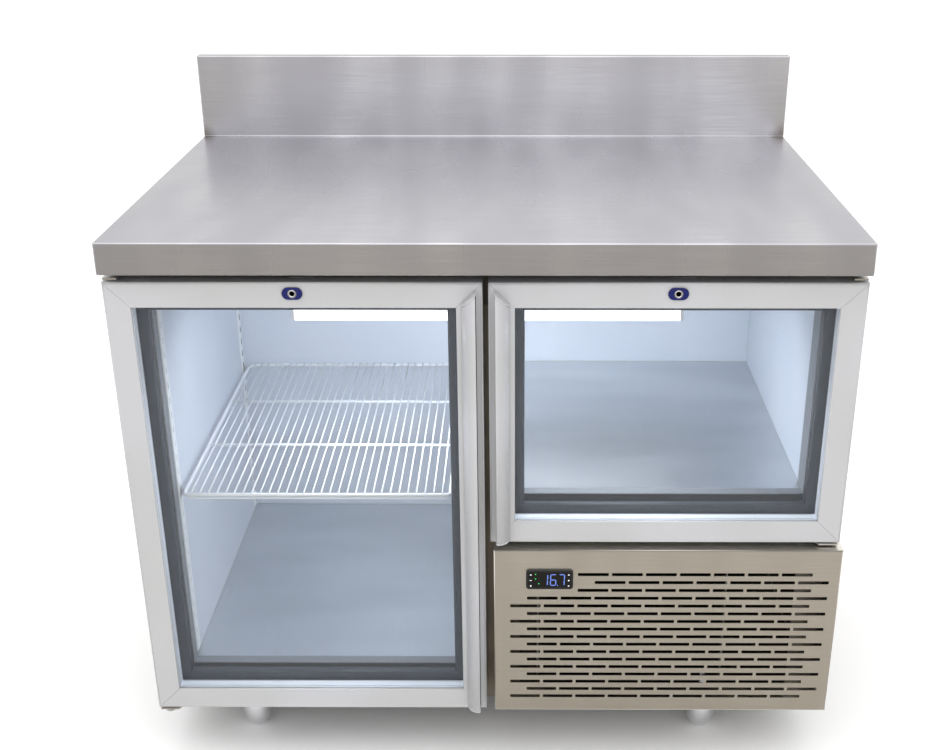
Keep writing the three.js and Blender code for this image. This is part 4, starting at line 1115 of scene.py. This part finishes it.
def makeShelf():
    d = shelfMake
    low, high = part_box("wire_shelf")
    r = d["frame"] * mm
    z = high.z - d["wire"] * 2 * mm - r + 0.6 * mm
    loop = filleted(
        [(low.x + r, low.y + r), (high.x - r, low.y + r), (high.x - r, high.y - r), (low.x + r, high.y - r)],
        [6 * mm, 6 * mm, d["corner"] * mm, d["corner"] * mm],
        6,
    )
    bm = bmesh.new()
    addTube(bm, [(x, y, z) for x, y in loop], r, 12, True)
    length = high.y - low.y
    for share in (1 / 3, 2 / 3):
        y = low.y + length * share
        addTube(bm, [(low.x + r, y, z + 0.3 * mm), (high.x - r, y, z + 0.3 * mm)], d["cross"] * mm, 12)
    left, right, sunk = low.x + 3 * r, high.x - 3 * r, z - 6.4 * mm
    drop = [(left, z), (left, sunk), (right, sunk), (right, z)]
    path = filleted(drop, [0, 4 * mm, 4 * mm, 0], 5)
    addTube(bm, [(x, low.y + r, level) for x, level in path], 1.6 * mm, 10)
    madePiece("shelf_frame", bm, wireCoat, "shelf", "coated_wire", "wire_shelf")
    count = int((high.x - low.x - 6 * r) / (d["pitch"] * mm)) + 1
    first = (low.x + high.x - (count - 1) * d["pitch"] * mm) / 2
    values = {
        "Count": count,
        "First": (first, (low.y + high.y) / 2, high.z - d["wire"] * mm),
        "Step": (d["pitch"] * mm, 0, 0),
        "Size": (d["wire"] * mm, length - 2 * mm, 0),
    }
    settle(grow("shelf_wires", rodRow, values, wireCoat), "shelf", "coated_wire")


uprightMake = {"slotPitch": 25, "slotLong": 10.9, "slotWide": 3.9}


def makeUprights():
    for node in ("left_front_upright", "left_rear_upright"):
        softened(node, node + "_strip", wireCoat, "cabinet", "stainless", 0.25 * mm, 1)
    low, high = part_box("left_rear_upright")  # dark plugs that paint the shade seen in each slot
    pitch = uprightMake["slotPitch"] * mm
    slots = {
        "Count": math.ceil((high.z - low.z) / pitch - 1),
        "First": ((low.x + high.x) / 2, (low.y + high.y) / 2, low.z + pitch / 2),
        "Step": (0, 0, pitch),
        "Size": (high.x - low.x + 0.3 * mm, uprightMake["slotWide"] * mm, uprightMake["slotLong"] * mm),
    }
    settle(grow("rear_upright_slot_shade", plateRow, slots, seamAndShadeBlack), "cabinet", "black_plastic")
    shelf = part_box("wire_shelf")
    bm = bmesh.new()  # four clips that carry the shelf
    z = shelf[0].z
    plateLow, plateHigh, tabLow, tabHigh = z - 12 * mm, z + 4 * mm, z - 1.9 * mm, z - 0.3 * mm
    half, tab, edge = 5 * mm, 6 * mm, 0.4 * mm
    for node in ("left_front_upright", "left_rear_upright"):
        low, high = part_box(node)
        y = (low.y + high.y) / 2
        addBox(bm, (high.x, y - half, plateLow), (high.x + 1.4 * mm, y + half, plateHigh), edge)
        addBox(bm, (high.x, y - half, tabLow), (shelf[0].x + tab, y + half, tabHigh), edge)
    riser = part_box("raised_floor")[0].x
    for y in (shelf[0].y + 60 * mm, shelf[1].y - 60 * mm):
        addBox(bm, (riser - 1.6 * mm, y - half, plateLow), (riser - 0.1 * mm, y + half, plateHigh), edge)
        addBox(bm, (shelf[1].x - tab, y - half, tabLow), (riser - 0.4 * mm, y + half, tabHigh), edge)
    madePiece("shelf_clips", bm, zincPlate, "cabinet", "stainless")


def makeLamp():
    low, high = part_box("lamp_lens")
    bm = bmesh.new()
    r = 9 * mm
    w, h = high.y - low.y, high.z - low.z
    section = filleted([(0, 0), (w, 0), (w, h), (0, h)], [r, r, 0, 0], 8)
    cap = 5 * mm
    axes = (0, 1, 0), (0, 0, 1), (1, 0, 0)
    length = high.x - low.x
    addSwept(bm, [section], low, *axes, lambda u: cap, lambda u: length - cap, 5 * mm)
    madePiece("lamp_diffuser", bm, lampGlow, "cabinet", "lamp_diffuser", "lamp_lens")
    bm = bmesh.new()
    for start, end in ((0, cap * 0.9), (length - cap * 0.9, length)):
        addSwept(bm, [section], low, *axes, lambda u: start, lambda u: end, 5 * mm)
    madePiece("lamp_end_caps", bm, wireCoat, "cabinet", "lamp_diffuser")
    softened("lamp_housing", "lamp_tray", finMill, "cabinet", "bare_aluminium", 1.2 * mm)


makeShelf()
makeUprights()
makeLamp()
print("interior made")


# Panels that keep their CAD shape: edges rounded, finish from the sheet they are made of; the base, header
# and sill take a darker steel and the mullion a half-dark one, as painted shade of the gaps they sit in
panelFinish = {
    "left_side_panel": steelCase,
    "right_side_panel": steelCase,
    "base_panel": steelShadow,
    "front_header": steelShadow,
    "centre_mullion": steelHalfShade,
    "right_sill": steelShadow,
    "rear_panel": steelCase,
}
for node, material in panelFinish.items():
    softened(node, node + "_sheet", material, "cabinet", "stainless", 0.35 * mm, 1)
for node in ("left_floor_plate", "raised_floor"):
    softened(node, node + "_sheet", steelFloor, "cabinet", "stainless", 0.5 * mm, 2)
for node in ("liner_left_wall", "liner_right_wall", "liner_rear_wall", "liner_ceiling"):
    finishNode(node, linerCoat)
finishNode("insulation", foamYellow)


breakerMake = {"reach": 44, "gap": 0.4, "sheet": 1.2, "edge": 0.3}


# Grey strips that line both door openings, between the steel front and the liner
def makeBreakerStrips():
    post, left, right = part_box("centre_mullion"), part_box("liner_left_wall"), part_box("liner_right_wall")
    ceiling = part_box("liner_ceiling")[0].z
    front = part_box("front_header")[1].y - breakerMake["reach"] * mm + breakerMake["gap"] * mm
    back = post[1].y
    t, edge = breakerMake["sheet"] * mm, breakerMake["edge"] * mm
    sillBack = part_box("left_floor_plate")[0].y
    openings = {
        "left": (left[1].x, post[0].x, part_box("left_floor_plate")),
        "right": (post[1].x, right[0].x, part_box("raised_floor")),
    }
    for name, (x0, x1, floorBox) in openings.items():
        floor = floorBox[1].z
        bm = bmesh.new()
        for low, high in (
            ((x0, front, floor), (x0 + t, back, ceiling)),
            ((x1 - t, front, floor), (x1, back, ceiling)),
            ((x0, front, ceiling - t), (x1, back, ceiling)),
            ((x0, front, floor), (x1, sillBack, floor + t)),
        ):
            addBox(bm, low, high, edge, 1)
        madePiece(name + "_breaker_strips", bm, breakerPlastic, "cabinet", "black_plastic")


makeBreakerStrips()


footMake = {"radius": 25, "height": 81.7, "stud": 6, "studTop": 108}


def makeFeet():
    r, h, stud, studTop = footMake.values()
    profile = [(0, 0), (r * 0.3, 0.0), (r * 0.4, 0.6), (r * 0.56, 3), (r * 0.66, 5.4)]
    profile += [(r * 0.74, 8), (r * 0.88, 14)]
    profile += [(r * 0.96, 20), (r * 0.99, 23), (r, 26), (r, h - 2), (r * 0.96, h), (stud, h)]
    profile += [(stud, studTop - 1), (stud - 1, studTop), (0, studTop)]
    for place in ("left_front", "right_front", "left_rear", "right_rear"):
        node = place + "_foot"
        low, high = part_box(node)
        bm = bmesh.new()
        middle = ((low.x + high.x) / 2, (low.y + high.y) / 2, 0)
        addTurned(bm, middle, (0, 0, 1), [(a * mm, b * mm) for a, b in profile], 48)
        madePiece(node + "_turned", bm, chromePlate, node, "bright_chrome", node)


makeFeet()
print("cabinet panels and feet made")


def makeCoil(node, finStep, tubeRows, finish):
    low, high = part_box(node)
    plate = 3 * mm
    bm = bmesh.new()
    for x in (low.x, high.x - plate):
        addBox(bm, (x, low.y, low.z), (x + plate, high.y, high.z), 0.4 * mm)
    madePiece(node + "_end_plates", bm, zincPlate, "cabinet", "bare_aluminium", node)
    count = int((high.x - low.x - 4 * plate) / (finStep * mm)) + 1
    values = {
        "Count": count,
        "First": (low.x + 2 * plate, (low.y + high.y) / 2, (low.z + high.z) / 2),
        "Step": (finStep * mm, 0, 0),
        "Size": (0.4 * mm, high.y - low.y - 4 * mm, high.z - low.z - 4 * mm),
    }
    settle(grow(node + "_fins", plateRow, values, finish), "cabinet", "bare_aluminium")
    bm = bmesh.new()
    stepZ = (high.z - low.z) / tubeRows
    for row in range(tubeRows):
        z = low.z + stepZ * (row + 0.5)
        for share in (0.3, 0.7):
            y = low.y + (high.y - low.y) * share
            addRod(bm, (low.x + 1 * mm, y, z), (high.x - 1 * mm, y, z), 4.5 * mm, 10)
    madePiece(node + "_tubes", bm, copperTube, "cabinet", "bare_aluminium")


def makeFan(node, body, blades, radius):
    low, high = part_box(node)
    centre = (low + high) / 2
    joint = next(j for j in frame["joints"] if j["child"] == body)
    x, z = joint["pos_m"][0], joint["pos_m"][2]
    hub = radius * 0.28
    y = centre.y
    bm = bmesh.new()
    front = -9 * mm
    profile = [(0, front), (hub * 0.7, front), (hub * 0.94, front + 1.5 * mm), (hub, front + 4 * mm)]
    profile += [(hub, -front), (0, -front)]
    addTurned(bm, (x, y, z), (0, 1, 0), profile, 32)
    stations, across = 7, 5
    for blade in range(blades):
        base = 2 * math.pi * blade / blades
        rows = []
        for i in range(stations):
            t = i / (stations - 1)
            reach = hub * 0.95 + (radius - hub * 0.95) * t
            pitch = math.radians(38 - 14 * t)
            chord = radius * (0.42 + 0.16 * math.sin(math.pi * (0.2 + 0.6 * t)))
            row = []
            for k in range(across):
                s = (k / (across - 1) - 0.5) * chord
                lift = s * math.sin(pitch) + 1.5 * mm * math.cos(math.pi * s / chord)
                angle = base + s * math.cos(pitch) / reach
                row.append((reach, angle, lift))
            rows.append(row)
        sheets = []
        for off in (-0.8 * mm, 0.8 * mm):
            sheet = []
            for row in rows:
                points = [(x + r * math.cos(a), y + lift + off, z + r * math.sin(a)) for r, a, lift in row]
                sheet.append([bm.verts.new(point) for point in points])
            sheets.append(sheet)
        for sheet, turned in zip(sheets, (False, True)):
            for i in range(stations - 1):
                for k in range(across - 1):
                    quad = (sheet[i][k], sheet[i][k + 1], sheet[i + 1][k + 1], sheet[i + 1][k])
                    bm.faces.new(quad[::-1] if turned else quad).smooth = True
        for i in range(stations - 1):
            for k in (0, across - 1):
                bm.faces.new((sheets[0][i][k], sheets[0][i + 1][k], sheets[1][i + 1][k], sheets[1][i][k]))
        for i in (0, stations - 1):
            for k in range(across - 1):
                bm.faces.new((sheets[0][i][k], sheets[0][i][k + 1], sheets[1][i][k + 1], sheets[1][i][k]))
    madePiece(node + "_wheel", bm, fanPlastic, body, "black_plastic", node)


def makeCompressor():
    low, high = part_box("compressor")
    x, y = (low.x + high.x) / 2, (low.y + high.y) / 2
    foot = low.z + 14 * mm
    r, h = 74 * mm, high.z - low.z - 16 * mm
    profile = [(0, 0), (r * 0.7, 1 * mm), (r * 0.92, 8 * mm), (r, 22 * mm), (r, h * 0.5)]
    profile += [(r * 1.02, h * 0.505), (r * 1.02, h * 0.53), (r, h * 0.535), (r * 0.99, h * 0.72)]
    for i in range(1, 8):
        a = i / 7 * math.pi / 2
        profile.append((r * 0.99 * math.cos(a) if i < 7 else 0, h * 0.72 + h * 0.28 * math.sin(a)))
    bm = bmesh.new()
    addTurned(bm, (x, y, foot), (0, 0, 1), profile, 48)
    addBox(bm, (low.x, y - 55 * mm, low.z), (high.x, y + 55 * mm, low.z + 3 * mm), 1 * mm)
    for sx in (-1, 1):
        for sy in (-1, 1):
            base = (x + sx * 80 * mm, y + sy * 45 * mm, low.z + 3 * mm)
            grommet = [(0, 0), (9, 0), (9, 6), (6, 9), (3, 9), (3, 14), (0, 14)]
            addTurned(bm, base, (0, 0, 1), [(a * mm, b * mm) for a, b in grommet], 20)
    madePiece("compressor_shell", bm, blackPaint, "cabinet", "black_steel", "compressor")


makeCoil("condenser_coil", 2.6, 9, finBlack)
makeCoil("evaporator_coil", 4.0, 4, finMill)
makeFan("condenser_fan", "condenser_fan", 5, 100 * mm)
makeFan("evaporator_fan", "evaporator_fan", 5, 50 * mm)
makeCompressor()
softened("condenser_fan_housing", "condenser_fan_plate", blackPaint, "cabinet", "black_steel", 0.4 * mm, 1)
softened("evaporator_housing", "evaporator_cover", steelCase, "cabinet", "stainless", 0.4 * mm, 1)
softened("cable_gland", "cable_gland_body", blackPlastic, "cabinet", "black_plastic", 0.4 * mm, 1)
print("cooling unit made")


studioMake = {
    "zenith": 1.28,
    "horizon": 0.55,
    "floor": "#ffffff",
    "flag": "#a59f95",
    "topLight": 16,
    "frontLight": 5,
    "insideLight": 3.2,
}


def addLamp(name, place, target, size, watts, colour="#ffffff"):
    data = bpy.data.lights.new(name, "AREA")
    data.shape = "RECTANGLE"
    data.size, data.size_y = size
    data.energy = watts
    data.color = linear(colour)[:3]
    lamp = bpy.data.objects.new(name, data)
    lamp.location = place
    lamp.rotation_euler = (Vector(target) - Vector(place)).to_track_quat("-Z", "Y").to_euler()
    bpy.context.scene.collection.objects.link(lamp)


def addSheet(name, low, high, z, colour):
    bm = bmesh.new()
    corners = ((low[0], low[1]), (high[0], low[1]), (high[0], high[1]), (low[0], high[1]))
    bm.faces.new([bm.verts.new((x, y, z)) for x, y in corners])
    material, tree, shader, place = startMaterial(name + "Card", colour, 0.0, 0.8)
    clouds = noiseField(tree, place, (400, 400, 400), 2.0)
    tree.links.new(spread(tree, clouds, 0.75, 0.85), shader.inputs["Roughness"])
    sheet = asObject(name, bm, material, False)
    return sheet


def makeStudio():
    d = studioMake
    world = bpy.data.worlds.new("studioSky")
    bpy.context.scene.world = world
    world.use_nodes = True
    tree = world.node_tree
    sky = tree.nodes["Background"]
    heading = addNode(tree, "ShaderNodeTexCoord").outputs["Generated"]
    up = addNode(tree, "ShaderNodeSeparateXYZ", {0: heading})
    strength = spread(tree, up.outputs["Z"], d["horizon"], d["zenith"], 0.02, 0.55)
    direct = addNode(tree, "ShaderNodeLightPath").outputs["Is Camera Ray"]
    # the backdrop itself is white
    brightest = nodeOut(tree, "ShaderNodeMath", {"operation": "MAXIMUM", 0: strength, 1: direct})
    tree.links.new(brightest, sky.inputs["Strength"])
    sky.inputs["Color"].default_value = linear("#ffffff")
    addSheet("floor", (-40, -40), (40, 40), 0.0, d["floor"])
    # toned card that the steel front mirrors
    flag = addSheet("flag", (-3.5, -7.0), (3.5, -0.37), 2 * mm, d["flag"])
    flag.visible_camera = False
    flag.visible_diffuse = False
    flag.visible_shadow = False
    addLamp("topSoftbox", (-0.3, -1.1, 3.0), (0, 0, 0.8), (3.2, 2.4), d["topLight"])
    addLamp("frontSoftbox", (0.6, -3.4, 1.7), (0, -0.3, 0.5), (3.0, 1.8), d["frontLight"])
    low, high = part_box("lamp_lens")
    middle = (low + high) / 2
    addLamp(
        "insideLamp",
        (middle.x, middle.y + 0.02, low.z - 4 * mm),
        (middle.x, middle.y + 0.16, 0.3),
        (high.x - low.x, high.y - low.y),
        d["insideLight"],
        "#eef4ff",
    )
    bpy.context.scene.view_settings.view_transform = "Standard"


cameraMake = {"place": (0.04577, -2.07681, 1.42336), "down": 0.4176, "turn": 0.0034, "lens": 49.16,
              "sensor": 36, "shift": (-0.0512, 0.0313)}


def makeCamera():
    d = cameraMake
    data = bpy.data.cameras.new("camera")
    data.sensor_width = d["sensor"]
    data.lens = d["lens"]
    data.shift_x, data.shift_y = d["shift"]
    camera = bpy.data.objects.new("camera", data)
    camera.location = d["place"]
    camera.rotation_euler = (math.pi / 2 - d["down"], 0, d["turn"])
    bpy.context.scene.collection.objects.link(camera)
    bpy.context.scene.camera = camera


makeStudio()
makeCamera()
print("studio made")
